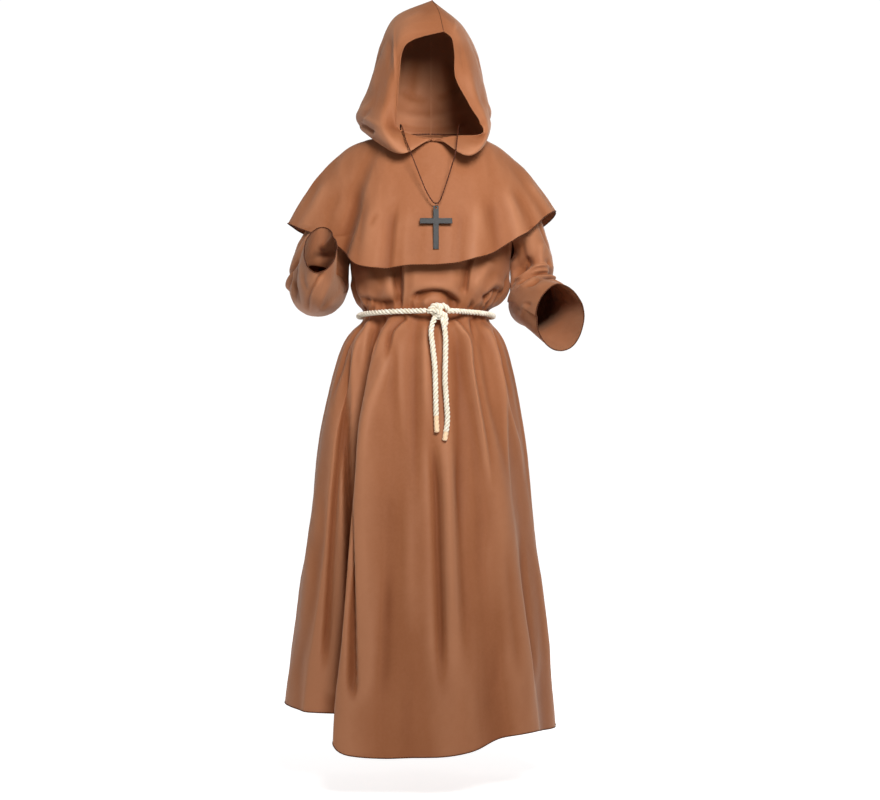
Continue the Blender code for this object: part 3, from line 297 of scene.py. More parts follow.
# Creases, each seen from one side. A row has its route over x, z (over y, z on the sides), its
# height (a furrow is negative), how far it reaches to its left and its right along the route,
# all in millimetres, and the shares of its length over which it starts and ends.
ROBE_CREASES = [
    (((-66, -262), (-64, -326), (-66, -378)), -15, 3.5, 17, 0.10, 0.12),
    (((-92, -262), (-78, -312), (-70, -352)), -9, 12, 15, 0.10, 0.3),
    (((-53, -262), (-54, -320), (-55, -366)), 3, 9, 4, 0.10, 0.3),
    (((-158, -272), (-120, -318), (-80, -356)), 8, 15, 20, 0.25, 0.2),
    (((96, -262), (87, -290), (79, -348)), -9, 3, 11, 0.10, 0.25),
    (((140, -262), (116, -300), (92, -350)), 6, 15, 12, 0.2, 0.3),
    (((-44, -358), (-20, -347), (14, -343), (44, -352), (66, -374)), -19, 7, 12, 0.15, 0.15),
    (((-18, -366), (-4, -362)), 3, 6, 6, 0.4, 0.4),
    (((116, -364), (140, -350), (166, -326)), -16, 11, 10, 0.2, 0.25),
    (((142, -376), (158, -364), (170, -348)), 5, 6, 7, 0.3, 0.3),
    (((-172, -350), (-140, -358), (-104, -365), (-76, -368)), -7, 8, 8, 0.2, 0.2),
    (((-148, -381), (-144, -362), (-132, -344)), -5, 4, 5, 0.2, 0.6),
    (((-128, -383), (-126, -366), (-116, -352)), -4, 4, 4, 0.2, 0.6),
    (((-100, -383), (-101, -368), (-108, -354)), -4, 3, 4, 0.2, 0.6),
    (((-37, -383), (-39, -366), (-34, -352)), -4, 3.5, 4, 0.2, 0.6),
    (((56, -383), (60, -370), (60, -358)), -4, 3.5, 4, 0.2, 0.6),
    (((89, -383), (93, -365), (91, -349)), -5, 4, 5, 0.2, 0.6),
    (((112, -384), (116, -368), (120, -358)), -4, 3.5, 4, 0.2, 0.6),
    (((128, -385), (130, -366), (141, -350)), -5, 5, 4, 0.2, 0.6),
    (((-48, -394), (-70, -410), (-84, -427), (-89, -454), (-100, -502)), -8, 4, 9, 0.08, 0.5),
    (((-89, -440), (-104, -513), (-134, -590), (-149, -667), (-158, -760)), 7, 16, 12, 0.25, 0.5),
    (((42, -396), (68, -421), (86, -451), (93, -513), (106, -590), (123, -691), (137, -799)),
     11, 5, 15, 0.06, 0.4),
    (((130, -397), (141, -489), (151, -534), (166, -590), (196, -678), (212, -777)),
     9, 6, 14, 0.08, 0.4),
    (((56, -420), (64, -513), (64, -601), (69, -733), (71, -931)), -8, 14, 16, 0.12, 0.4),
    (((111, -410), (122, -491), (137, -579), (161, -689), (176, -800)), -6, 12, 10, 0.15, 0.5),
    (((-30, -394), (-34, -469), (-32, -623), (-26, -843)), -4, 12, 12, 0.12, 0.5),
    (((-8, -400), (-10, -491), (-6, -667)), 5, 10, 10, 0.15, 0.6),
    (((-67, -420), (-65, -535), (-56, -711)), 5, 14, 12, 0.2, 0.6),
    (((-114, -394), (-127, -447), (-140, -517)), -7, 8, 9, 0.12, 0.6),
    (((-134, -394), (-146, -452), (-158, -540)), 5, 8, 8, 0.12, 0.6),
    (((93, -394), (97, -425), (106, -469)), -6, 5, 6, 0.1, 0.7),
    (((20, -398), (24, -440), (28, -520)), 4, 7, 8, 0.2, 0.7),
    (((2, -620), (12, -760), (17, -900), (22, -1060), (28, -1239)), -14, 16, 12, 0.25, 0.3),
    (((38, -640), (41, -780), (44, -960), (50, -1180)), 7, 13, 14, 0.3, 0.4),
    (((-45, -700), (-41, -931), (-37, -1173)), 7, 24, 24, 0.35, 0.4),
    (((64, -640), (71, -887), (80, -1063), (84, -1220)), -9, 15, 15, 0.25, 0.4),
    (((118, -820), (128, -980), (136, -1180)), 6, 20, 20, 0.35, 0.4),
    (((168, -860), (184, -1010), (196, -1200)), -6, 18, 18, 0.35, 0.3),
    (((214, -900), (228, -1060), (238, -1240)), 5, 14, 14, 0.35, 0.3),
    (((-88, -900), (-92, -1060), (-96, -1250)), -5, 18, 18, 0.4, 0.3),
    (((-172, -420), (-190, -540), (-204, -690), (-217, -931), (-228, -1200)), -15, 10, 11, 0.15, 0.15),
    (((-180, -500), (-180, -700), (-169, -931), (-158, -1230)), -20, 4, 16, 0.25, 0.1),
    (((-196, -689), (-196, -799), (-192, -931), (-190, -1150)), 5, 7, 7, 0.3, 0.3),
    (((68, -421), (86, -451), (93, -513), (106, -590), (123, -691)), 3.5, 2.5, 5, 0.15, 0.4),
    (((139, -460), (151, -534), (166, -590), (196, -678)), 3.5, 2.5, 5, 0.15, 0.4),
    (((-232, -760), (-240, -940), (-252, -1150)), -6, 13, 13, 0.35, 0.35),
    (((-262, -900), (-272, -1060), (-284, -1220)), 5, 12, 12, 0.35, 0.3),
    (((-206, -1010), (-212, -1120), (-216, -1240)), 5, 12, 12, 0.4, 0.2),
]
ROBE_BACK_CREASES = [
    (((-150, -262), (-132, -320), (-128, -372)), -9, 14, 9, 0.2, 0.2),
    (((-108, -262), (-96, -318), (-88, -370)), 8, 13, 15, 0.2, 0.2),
    (((-62, -262), (-56, -322), (-52, -378)), -10, 8, 15, 0.15, 0.15),
    (((-8, -262), (-4, -316), (-10, -366)), 7, 16, 13, 0.2, 0.25),
    (((38, -262), (46, -330), (42, -378)), -10, 15, 8, 0.15, 0.15),
    (((92, -262), (84, -314), (92, -366)), 8, 14, 14, 0.2, 0.2),
    (((140, -262), (128, -324), (126, -374)), -9, 9, 15, 0.2, 0.2),
    (((-140, -356), (-96, -366), (-44, -360), (12, -367), (66, -360), (128, -366)), -6, 7, 9, 0.1, 0.1),
    (((-122, -383), (-118, -364), (-112, -348)), -5, 4, 5, 0.2, 0.6),
    (((-74, -384), (-76, -366), (-82, -352)), -5, 4, 4, 0.2, 0.6),
    (((-30, -384), (-28, -368), (-22, -354)), -4, 4, 4, 0.2, 0.6),
    (((22, -384), (18, -366), (20, -350)), -5, 4, 5, 0.2, 0.6),
    (((70, -384), (74, -368), (72, -352)), -4, 4, 4, 0.2, 0.6),
    (((112, -384), (110, -366), (116, -350)), -5, 5, 4, 0.2, 0.6),
    (((-118, -394), (-134, -470), (-158, -590), (-184, -760)), 9, 9, 14, 0.08, 0.4),
    (((-92, -394), (-104, -480), (-118, -640), (-128, -820)), -9, 12, 10, 0.1, 0.4),
    (((-64, -396), (-72, -500), (-84, -680), (-92, -900)), 8, 8, 13, 0.08, 0.4),
    (((-34, -394), (-38, -470), (-46, -620)), -7, 9, 9, 0.1, 0.5),
    (((-10, -396), (-14, -520), (-12, -720), (-16, -960)), 7, 12, 10, 0.1, 0.4),
    (((20, -394), (28, -480), (30, -640)), -7, 9, 10, 0.1, 0.5),
    (((48, -396), (60, -510), (70, -690), (78, -900)), 9, 13, 8, 0.08, 0.4),
    (((78, -394), (92, -470), (110, -620), (122, -800)), -9, 10, 12, 0.1, 0.4),
    (((106, -396), (124, -480), (146, -620), (172, -800)), 8, 14, 8, 0.1, 0.4),
    (((-220, -800), (-236, -1000), (-252, -1220)), -7, 15, 15, 0.3, 0.3),
    (((-150, -820), (-158, -1000), (-164, -1240)), 8, 18, 18, 0.3, 0.3),
    (((-60, -860), (-64, -1040), (-66, -1260)), -8, 18, 16, 0.3, 0.2),
    (((16, -900), (22, -1080), (26, -1270)), 7, 20, 20, 0.3, 0.2),
    (((96, -840), (104, -1020), (112, -1260)), -8, 16, 18, 0.3, 0.2),
    (((166, -860), (178, -1040), (190, -1240)), 7, 16, 16, 0.3, 0.3),
    (((-86, -120), (-60, -160), (-40, -230)), -4, 12, 12, 0.3, 0.3),
    (((86, -120), (64, -165), (46, -235)), -4, 12, 12, 0.3, 0.3),
]
ROBE_SIDE_CREASES = [
    (((-70, -396), (-84, -480), (-104, -620), (-120, -800)), 7, 10, 9, 0.1, 0.4),
    (((-36, -394), (-44, -470), (-58, -600)), -7, 9, 9, 0.1, 0.5),
    (((-4, -396), (-8, -500), (-14, -680), (-16, -900)), 6, 11, 10, 0.1, 0.4),
    (((30, -394), (38, -480), (44, -640)), -7, 9, 10, 0.1, 0.5),
    (((62, -396), (78, -500), (96, -680), (108, -880)), 7, 10, 12, 0.1, 0.4),
    (((-90, -840), (-104, -1020), (-120, -1230)), -6, 15, 15, 0.3, 0.3),
    (((-24, -900), (-28, -1060), (-32, -1220)), 6, 17, 17, 0.3, 0.3),
    (((54, -820), (62, -1010), (70, -1230)), -6, 16, 15, 0.3, 0.3),
    (((-40, -290), (-30, -330), (-44, -372)), -6, 10, 12, 0.3, 0.3),
    (((34, -280), (24, -328), (38, -370)), -6, 12, 10, 0.3, 0.3),
    (((-6, -300), (0, -345), (-8, -376)), 5, 11, 11, 0.3, 0.3),
]
CAPE_CREASES = [
    (((-72, -130), (-82, -190), (-90, -294)), -8, 9, 28, 0.4, 0.02),
    (((-40, -130), (-50, -205), (-54, -294)), 4, 24, 13, 0.4, 0.02),
    (((64, -130), (66, -205), (62, -288)), -4.2, 14, 18, 0.4, 0.02),
    (((100, -120), (101, -190), (98, -280)), 4.2, 19, 15, 0.4, 0.02),
    (((132, -110), (142, -180), (146, -262)), -6, 16, 20, 0.4, 0.02),
    (((160, -90), (184, -150), (200, -225)), 3.5, 16, 16, 0.4, 0.02),
    (((176, -100), (206, -146), (228, -196)), -2.1, 13, 14, 0.4, 0.02),
    (((-108, -110), (-118, -190), (-122, -296)), 1, 17, 17, 0.4, 0.02),
    (((-136, -100), (-158, -180), (-168, -290)), -8, 20, 24, 0.4, 0.02),
    (((-160, -90), (-184, -150), (-198, -260)), 2.8, 15, 15, 0.4, 0.02),
    (((-190, -90), (-222, -150), (-240, -225)), -2.8, 13, 13, 0.4, 0.02),
    (((-10, -44), (-34, -78), (-62, -96)), -1.4, 16, 16, 0.4, 0.5),
    (((46, -46), (74, -66), (104, -74)), -1.4, 16, 16, 0.4, 0.5),
    (((-114, -164), (-126, -183), (-132, -203)), -2.1, 7, 7, 0.4, 0.4),
]
CAPE_BACK_CREASES = [
    (((-210, -90), (-236, -140), (-252, -215)), -5, 13, 14, 0.4, 0.02),
    (((-168, -90), (-190, -160), (-202, -250)), 5, 15, 15, 0.4, 0.02),
    (((-124, -90), (-142, -170), (-152, -275)), -7, 16, 17, 0.35, 0.02),
    (((-88, -80), (-98, -180), (-102, -290)), 6, 18, 16, 0.35, 0.02),
    (((-48, -80), (-52, -180), (-54, -294)), -7, 16, 18, 0.35, 0.02),
    (((-6, -90), (-8, -190), (-4, -294)), 6, 17, 17, 0.35, 0.02),
    (((38, -80), (44, -180), (46, -292)), -7, 18, 15, 0.35, 0.02),
    (((80, -90), (94, -180), (98, -286)), 6, 16, 17, 0.35, 0.02),
    (((116, -80), (134, -160), (142, -266)), -6, 15, 17, 0.35, 0.02),
    (((152, -90), (176, -150), (186, -240)), 5, 15, 15, 0.4, 0.02),
    (((186, -90), (212, -140), (228, -205)), -5, 13, 14, 0.4, 0.02),
    (((-60, 8), (-30, -8), (4, -12), (36, -6), (62, 8)), -3, 8, 8, 0.2, 0.2),
]
CAPE_SIDE_CREASES = [
    (((-66, -80), (-82, -130), (-92, -215)), -4, 11, 12, 0.4, 0.02),
    (((-30, -70), (-36, -120), (-38, -190)), 4, 12, 12, 0.4, 0.02),
    (((4, -70), (6, -115), (8, -178)), -4, 12, 11, 0.4, 0.02),
    (((40, -75), (48, -125), (54, -200)), 4, 12, 12, 0.4, 0.02),
    (((76, -80), (88, -130), (100, -225)), -4, 11, 12, 0.4, 0.02),
]
RIGHT_SLEEVE_CREASES = [
    (((-220, -304), (-235, -321), (-259, -351), (-265, -388)), -6, 4, 6, 0.2, 0.15),
    (((-201, -304), (-203, -332), (-218, -364), (-235, -386)), -6, 4, 5, 0.2, 0.15),
    (((-209, -310), (-220, -338), (-239, -371), (-250, -390)), 4, 6, 6, 0.3, 0.2),
    (((-190, -310), (-188, -338), (-192, -368)), -4, 3, 4, 0.3, 0.3),
    (((-179, -313), (-179, -343), (-186, -368)), 3, 3, 3, 0.3, 0.3),
    (((-278, -242), (-282, -278), (-278, -321), (-270, -356)), 4, 8, 6, 0.3, 0.4),
    (((-297, -252), (-300, -300), (-291, -343), (-278, -377)), -6, 4, 3, 0.3, 0.3),
    (((-270, -295), (-270, -325), (-259, -356)), -3, 5, 5, 0.4, 0.4),
]
LEFT_SLEEVE_CREASES = [
    (((184, -323), (221, -287), (251, -277), (272, -279), (292, -292)), 7, 6, 4, 0.2, 0.25),
    (((186, -323), (219, -301), (249, -295), (278, -295), (299, -306)), -9, 4, 5, 0.15, 0.2),
    (((188, -336), (221, -316), (243, -304), (269, -301), (297, -312)), 5, 3, 5, 0.2, 0.25),
    (((208, -332), (222, -323), (247, -310), (273, -310), (295, -321), (308, -327)), -8, 3, 5, 0.2, 0.2),
    (((222, -343), (248, -325), (275, -323), (299, -334)), 3, 8, 9, 0.3, 0.3),
    (((255, -221), (251, -242), (249, -274)), 3, 5, 7, 0.3, 0.2),
    (((186, -301), (204, -276), (239, -267)), -12, 11, 11, 0.3, 0.4),
    (((186, -214), (204, -256), (226, -300)), -11, 24, 30, 0.3, 0.3),
    (((166, -358), (188, -374), (208, -393)), -3, 5, 5, 0.4, 0.3),
    (((204, -365), (226, -374)), -3, 4, 4, 0.4, 0.4),
    (((195, -407), (208, -380), (213, -354)), 3, 6, 5, 0.3, 0.4),
]
SLEEVE_BACK_CREASES = [
    (((200, -210), (222, -232), (250, -244)), -6, 8, 9, 0.3, 0.3),
    (((196, -250), (224, -262), (262, -262)), 6, 9, 9, 0.3, 0.3),
    (((196, -280), (226, -290), (266, -282)), -7, 8, 9, 0.25, 0.25),
    (((190, -310), (222, -312), (262, -300)), 6, 7, 9, 0.25, 0.25),
    (((186, -336), (214, -334), (250, -322)), -6, 8, 8, 0.25, 0.25),
    (((200, -366), (226, -360), (256, -350)), 4, 7, 7, 0.3, 0.3),
]
SLEEVE_OUTER_CREASES = [
    (((-40, -150), (-30, -205), (-6, -255)), -5, 10, 10, 0.3, 0.3),
    (((20, -150), (24, -200), (10, -250)), 5, 10, 11, 0.3, 0.3),
    (((-52, -262), (-20, -290), (24, -306)), -8, 8, 9, 0.2, 0.25),
    (((-58, -286), (-24, -312), (16, -328)), 7, 7, 9, 0.2, 0.25),
    (((-66, -308), (-34, -330), (4, -348)), -8, 8, 8, 0.2, 0.25),
    (((-90, -300), (-110, -330), (-112, -372)), -6, 9, 9, 0.25, 0.25),
    (((-124, -280), (-140, -320), (-142, -370)), 5, 10, 10, 0.25, 0.25),
    (((-156, -260), (-168, -310), (-166, -370)), -5, 10, 10, 0.25, 0.25),
]
SLEEVE_INNER_CREASES = [
    (((-16, -246), (-10, -290), (-26, -336)), 8, 30, 30, 0.3, 0.3),
    (((-60, -280), (-36, -300), (-16, -322)), -6, 8, 8, 0.3, 0.3),
]
HOOD_CREASES = [
    (((-80, 263), (-80, 233), (-79, 187), (-78, 141), (-76, 117)), 2.2, 3, 3, 0.3, 0.4),
    (((-90, 255), (-90, 225), (-89, 180), (-88, 110)), -3, 8, 8, 0.3, 0.4),
    (((-116, 200), (-122, 150), (-128, 100)), 4, 14, 14, 0.4, 0.4),
    (((-64, 262), (-40, 278), (-6, 292)), 2, 10, 10, 0.4, 0.4),
    (((54, 271), (56, 255), (54, 235)), 2.2, 3.5, 3, 0.4, 0.4),
    (((66, 230), (74, 180), (76, 130)), -4, 9, 9, 0.4, 0.4),
    (((88, 190), (92, 130), (94, 80)), 4, 12, 12, 0.5, 0.5),
    (((112, 150), (118, 100), (116, 56)), -3.5, 10, 12, 0.4, 0.4),
    (((-164, 44), (-152, 36), (-138, 24), (-122, 10)), -9, 4, 6, 0.15, 0.25),
    (((-160, 62), (-146, 51), (-130, 38), (-108, 22)), 3, 7, 5, 0.25, 0.3),
    (((120, 44), (108, 20), (92, 4)), -3, 6, 7, 0.3, 0.4),
    (((-60, 10), (-50, -14), (-42, -30)), -2, 8, 8, 0.4, 0.4),
]
HOOD_BACK_CREASES = [
    (((-30, 240), (-44, 180), (-50, 110)), -4, 13, 13, 0.4, 0.4),
    (((34, 236), (46, 180), (52, 105)), -4, 13, 13, 0.4, 0.4),
    (((-96, 70), (-50, 54), (0, 50), (50, 56), (96, 70)), -5, 9, 10, 0.2, 0.2),
    (((-104, 98), (-52, 84), (0, 80), (50, 86), (102, 98)), 4, 11, 10, 0.35, 0.35),
    (((-84, 150), (-40, 128), (0, 122)), -3, 10, 10, 0.4, 0.4),
    (((86, 158), (44, 134), (8, 126)), -3, 10, 10, 0.4, 0.4),
]
HOOD_SIDE_CREASES = [
    (((-60, 250), (-30, 200), (-6, 140), (4, 90)), -4, 13, 13, 0.4, 0.3),
    (((0, 270), (30, 216), (44, 150), (42, 90)), 5, 14, 14, 0.4, 0.3),
    (((52, 240), (80, 190), (92, 130)), -4, 13, 13, 0.4, 0.4),
    (((-90, 70), (-40, 50), (20, 44), (80, 56)), -4, 9, 9, 0.2, 0.3),
    (((-86, 92), (-36, 74), (24, 70), (84, 82)), 2.5, 9, 11, 0.25, 0.3),
]

# A crease fades out over its width in a bell curve, cut off at this many widths
CREASE_CUT = 2.6
CREASE_STEPS = 6

# Unevenness of the cloth: wave height, its size, and how far its pattern is moved. The two coarse
# ones are drawn out downwards.
CLOTH_WAVES = [(0.0016, 0.060, 7.0), (0.0007, 0.024, 3.0)]
CLOTH_DRAWN_OUT = (1.0, 0.28)
FINE_WAVE = (0.0002, 0.013, 5.0)
HOOD_WAVES = 0.7

# Relief, which the cloth's finish turns into painted shade in furrows and a painted highlight on ridges:
# how wide a stretch of cloth is compared with, and the height that counts as full
RELIEF_SCALES = [(0.014, 0.0022), (0.042, 0.0100)]

# Rows and columns of the cloth grids
SKIRT_ROWS = 230
CHEST_ROWS = 34
YOKE_ROWS = 46
ROWS_TO_WAIST = 0.45
ROBE_FRONT_COLUMNS = 290
ROBE_BACK_COLUMNS = 250
SLEEVE_ROWS = 190
SLEEVE_SIDES = 200
CAPE_ROWS = 130
CAPE_COLUMNS = 300
HOOD_ROWS = 180
HOOD_COLUMNS = 170

# The sides that creases are seen from: the axes of their places, and the way their cloth faces
VIEWS = {
    "front": ((0, 2), 1, -1.0),
    "back": ((0, 2), 1, 1.0),
    "left": ((1, 2), 0, 1.0),
    "right": ((1, 2), 0, -1.0),
}

# Radii of the thin rolls along edges and seams
HEM_ROLL = 0.0012
CAPE_HEM_ROLL = 0.0011
NECK_ROLL = 0.0013
SEAM_ROLL = 0.0007
ROLL_STEP = 0.003
ROLL_SIDES = 8

# Steps and sides of the ropes and the cord; the cord's plaits bulge by a share of its radius
ROPE_STEP = 0.0011
KNOT_STEP = 0.0010
ROPE_SIDES = 30
CORD_STEP = 0.0016
CORD_SIDES = 12
CORD_BULGE = (1.25, 0.16)
CORD_PLAIT = 0.007
RING_STEPS = 72
HOLE_STEPS = 40

# Taped tips: length of the tape, its radius, how much it rounds the rope, and how soon it starts
TAPE_LENGTHS = {"belt_end_right": 0.037, "belt_end_left": 0.020}
TAPE_RADIUS = 0.0056
TAPE_SHARE = 0.45
TAPE_EDGE = 0.004
TAPE_TIGHTENS = 0.006

# Studio: camera, lamps (place, size, power, spread) and where they point, floor
CAMERA_PLACE = (0.0227, -4.5, -0.579)
CAMERA_SENSOR = 36.0
CAMERA_LENS = 81.1
LAMP_TARGET = (0.0, 0.0, -0.12)
LAMPS = {
    "key": ((0.50, -2.38, 0.80), (0.9, 0.9), 21.3, 84.0),
    "fill": ((-2.2, -2.2, 0.9), (1.0, 1.4), 3.0, 180.0),
    "back": ((0.9, 3.2, 0.9), (2.0, 2.0), 24.0, 180.0),
}
FLOOR_Z = -1.436
FLOOR_REACH = 9.0

# Light from the floor, by stretches of its depth: start, end, strength
FLOOR_GLOW = [(-1.3, -0.2, 0.82), (0.3, 1.6, 0.20), (-0.9, -2.4, 0.36)]


# Curves and waves
def smooth(value):
    """Ease from 0 to 1."""
    value = np.clip(value, 0.0, 1.0)
    return value * value * (3.0 - 2.0 * value)


def interpolate(rows, at):
    """Smooth values between a table's rows; the first column is the place."""
    rows = np.asarray(rows, float)
    places = rows[:, 0]
    last = len(rows) - 1
    at = np.clip(np.asarray(at, float), places[0], places[last])
    index = np.searchsorted(places[1:last], at, side="left")
    low, high = rows[index], rows[index + 1]
    before, after = rows[np.maximum(index - 1, 0)], rows[np.minimum(index + 2, last)]
    span = (high[..., :1] - low[..., :1])
    t = (at[..., None] - low[..., :1]) / span
    slope_low = (high - before) / (high[..., :1] - before[..., :1]) * span
    slope_high = (after - low) / (after[..., :1] - low[..., :1]) * span
    result = ((2 * t ** 3 - 3 * t ** 2 + 1) * low + (t ** 3 - 2 * t ** 2 + t) * slope_low
              + (3 * t ** 2 - 2 * t ** 3) * high + (t ** 3 - t ** 2) * slope_high)
    return result[..., 1:]


def signed_power(value, power):
    """A power that keeps the sign."""
    return np.sign(value) * np.abs(value) ** power


def turn_between(angle, other):
    """The shorter way from one angle to another, in degrees."""
    return (angle - other + 180.0) % 360.0 - 180.0


def bump(distance, half_width):
    """A soft ridge, 1 in its middle and 0 from its half width on."""
    return np.where(np.abs(distance) < half_width,
                    0.5 + 0.5 * np.cos(np.pi * distance / half_width), 0.0)


def unit(vectors):
    """Vectors of length 1."""
    return vectors / np.maximum(np.linalg.norm(vectors, axis=-1, keepdims=True), 1e-12)


def length_along(line):
    """The length of a line up to each of its points."""
    steps = np.linalg.norm(np.diff(line, axis=0), axis=1)
    return np.concatenate([[0.0], np.cumsum(steps)])


def points_at(line, count, closed=False):
    """A given number of points at even steps along a line."""
    reached = length_along(line)
    even = np.linspace(0.0, reached[-1], count, endpoint=not closed)
    return np.stack([np.interp(even, reached, line[:, axis]) for axis in range(3)], axis=-1)


def ripple(places, size, seed):
    """Soft uneven waves between -1 and 1 over flat places, of about the given size."""
    lattice = np.random.default_rng(seed).uniform(-1.0, 1.0, (64, 64))
    spot = places / size
    whole = np.floor(spot).astype(int)
    part = smooth(spot - whole)
    a, b = whole[..., 0] % 64, whole[..., 1] % 64
    c, d = (a + 1) % 64, (b + 1) % 64
    low = lattice[a, b] + (lattice[c, b] - lattice[a, b]) * part[..., 0]
    high = lattice[a, d] + (lattice[c, d] - lattice[a, d]) * part[..., 0]
    return low + (high - low) * part[..., 1]


# The garment's surfaces, as grids of points
def robe_ring(angle, height):
    """Points of the robe's round form, without folds."""
    right, left, front, back = np.moveaxis(interpolate(ROBE_SECTIONS, height), -1, 0)
    radians = np.radians(angle)
    depth = np.where(np.cos(radians) > 0.0, ROBE_MID_Y - front, back - ROBE_MID_Y)
    x = 0.5 * (left + right) + 0.5 * (left - right) * signed_power(np.sin(radians), ROUNDNESS)
    y = ROBE_MID_Y - depth * signed_power(np.cos(radians), ROUNDNESS)
    return np.stack([x, y, np.broadcast_to(height, x.shape)], axis=-1)


def robe_point(angle, height, drop):
    """Points of the robe below the underarm. The drop is 0 at the waist, 1 at the hem."""
    angle, height, drop = np.broadcast_arrays(np.asarray(angle, float), np.asarray(height, float),
                                              np.asarray(drop, float))
    base = robe_ring(angle, height)
    ahead = unit(robe_ring(angle + 1.0, height) - robe_ring(angle - 1.0, height))
    outward = np.cross(ahead, [0.0, 0.0, 1.0])
    lift = np.zeros(angle.shape)
    lean = np.zeros(angle.shape)
    for at_waist, at_hem, half_width, ridge, side_lean, early in SKIRT_FOLDS:
        middle = at_waist + (at_hem - at_waist) * drop
        shape = bump(turn_between(angle, middle), half_width) * drop ** early
        lift += ridge * shape
        lean += side_lean * shape
    near_belt = 1.0 - smooth(np.abs(height - WAIST) / GATHER_REACH)
    for at, half_width, ridge in WAIST_GATHERS:
        lift += ridge * bump(turn_between(angle, at), half_width) * near_belt * GATHER_SHARE
    for at, half_width, ridge, level, reach in CHEST_FOLDS:
        lift += ridge * bump(turn_between(angle, at), half_width) * bump(height - level, reach)
    return base + outward * lift[..., None] + ahead * lean[..., None]


def armhole_point(side, turn):
    """Points of an armhole; side is 1 on the garment's left, and turn 0 is its front."""
    low = robe_point(90.0 * side, UNDERARM, 0.0)
    high = np.array([SHOULDER_TIP[0] * side, SHOULDER_TIP[1], SHOULDER_TIP[2]])
    radians = np.radians(np.asarray(turn, float))[..., None]
    forward = -ARMHOLE_DEPTH * signed_power(np.cos(radians), ARMHOLE_POINTED)
    return (low + high) * 0.5 + (high - low) * (0.5 * np.sin(radians)) + forward * [0.0, 1.0, 0.0]


def neckline_point(angle):
    """Points of the robe's neckline."""
    radians = np.radians(np.asarray(angle, float))
    ahead = np.cos(radians)
    reach = np.where(ahead > 0.0, NECK_FRONT, -NECK_BACK)
    end_height = np.where(ahead > 0.0, NECK_FRONT_Z, NECK_BACK_Z)
    height = NECK_SIDE_Z + (end_height - NECK_SIDE_Z) * ahead * ahead
    return np.stack([NECK_HALF_WIDTH * np.sin(radians), reach * ahead, height], axis=-1)


def yoke_column(share, facing, angle, t):
    """Points between underarm level and the shoulder seam or neckline."""
    side = np.where(share >= 0.0, 1.0, -1.0)
    low = robe_point(angle, UNDERARM, 0.0)
    turn = 90.0 * share / NECK_SHARE
    at_neckline = neckline_point(turn if facing > 0 else 180.0 - turn)
    neck = neckline_point(90.0 * side)
    tip = np.stack([SHOULDER_TIP[0] * side, np.full_like(side, SHOULDER_TIP[1]),
                    np.full_like(side, SHOULDER_TIP[2])], axis=-1)
    along = np.clip((np.abs(share) - NECK_SHARE) / (1.0 - NECK_SHARE), 0.0, 1.0)[..., None]
    high = np.where((np.abs(share) < NECK_SHARE)[..., None], at_neckline, neck + (tip - neck) * along)
    at_neck = (1.0 - smooth(np.abs(share) / NECK_SHARE))[..., None]
    turned = np.array([1.0, facing, 1.0])
    leave = turned * YOKE_AT_SHOULDER * (1.0 - at_neck) + turned * YOKE_AT_NECK * at_neck
    t = np.asarray(t, float)[..., None]
    s = 1.0 - t
    return (low * s ** 3 + (low + YOKE_RISE) * (3 * s * s * t)
            + (high + leave) * (3 * s * t * t) + high * t ** 3)


def yoke_point(share, facing, angle, t):
    """Yoke points, drawn to the armhole near the side."""
    share, angle, t = np.broadcast_arrays(share, angle, t)
    side = np.where(share >= 0.0, 1.0, -1.0)
    point = yoke_column(share, facing, angle, t)
    turn = -90.0 + 180.0 * t
    if facing < 0:
        turn = 180.0 - turn
    edge = np.where((side > 0)[..., None], armhole_point(1.0, turn), armhole_point(-1.0, turn))
    shift = edge - yoke_column(side, facing, 90.0 * side, t)
    near_side = smooth((np.abs(share) - YOKE_JOINS_ARMHOLE) / (1.0 - YOKE_JOINS_ARMHOLE))
    return point + shift * near_side[..., None]


def robe_grid(first, last, columns, facing):
    """Points of the robe's front or back, rows from the hem up."""
    angles = np.linspace(first, last, columns)[None, :]
    hem = interpolate(HEM_HEIGHTS, turn_between(angles, 0.0))[..., 0]
    drops = (1.0 - np.linspace(0.0, 1.0, SKIRT_ROWS))[:, None]
    drops = (1.0 - ROWS_TO_WAIST) * drops + ROWS_TO_WAIST * drops ** 2
    skirt = robe_point(angles, WAIST + (hem - WAIST) * drops, drops)
    levels = np.linspace(WAIST, UNDERARM, CHEST_ROWS + 2)[1:-1, None]
    chest = robe_point(angles, levels, 0.0)
    share = angles / 90.0 if facing > 0 else (180.0 - angles) / 90.0
    t = np.linspace(0.0, 1.0, YOKE_ROWS)[:, None]
    yoke = yoke_point(share, facing, angles, t)
    return np.concatenate([skirt, chest, yoke], axis=0)


def sleeve_grid(side, table):
    """Rings of a sleeve from the armhole to the cuff; a ring starts at the underarm."""
    turns = -90.0 + 360.0 * np.arange(SLEEVE_SIDES) / SLEEVE_SIDES
    first = armhole_point(side, turns) + unit(np.array([side, 0.0, -0.15])) * ARMHOLE_GAP
    keys = [first]
    radians = np.radians(turns)[:, None]
    for row in table:
        middle, reach, spread = np.array(row[0:3]), np.array(row[3:6]), np.array(row[6:9])
        keys.append(middle + reach * np.cos(radians) + spread * np.sin(radians))
    marked = np.array([np.concatenate([[index], key.ravel()]) for index, key in enumerate(keys)])
    rows = interpolate(marked, np.linspace(0.0, len(keys) - 1, SLEEVE_ROWS))
    rows = rows.reshape(SLEEVE_ROWS, SLEEVE_SIDES, 3)
    if side > 0:
        rows = np.concatenate([rows[:, :1], rows[:, :0:-1]], axis=1)
    return rows


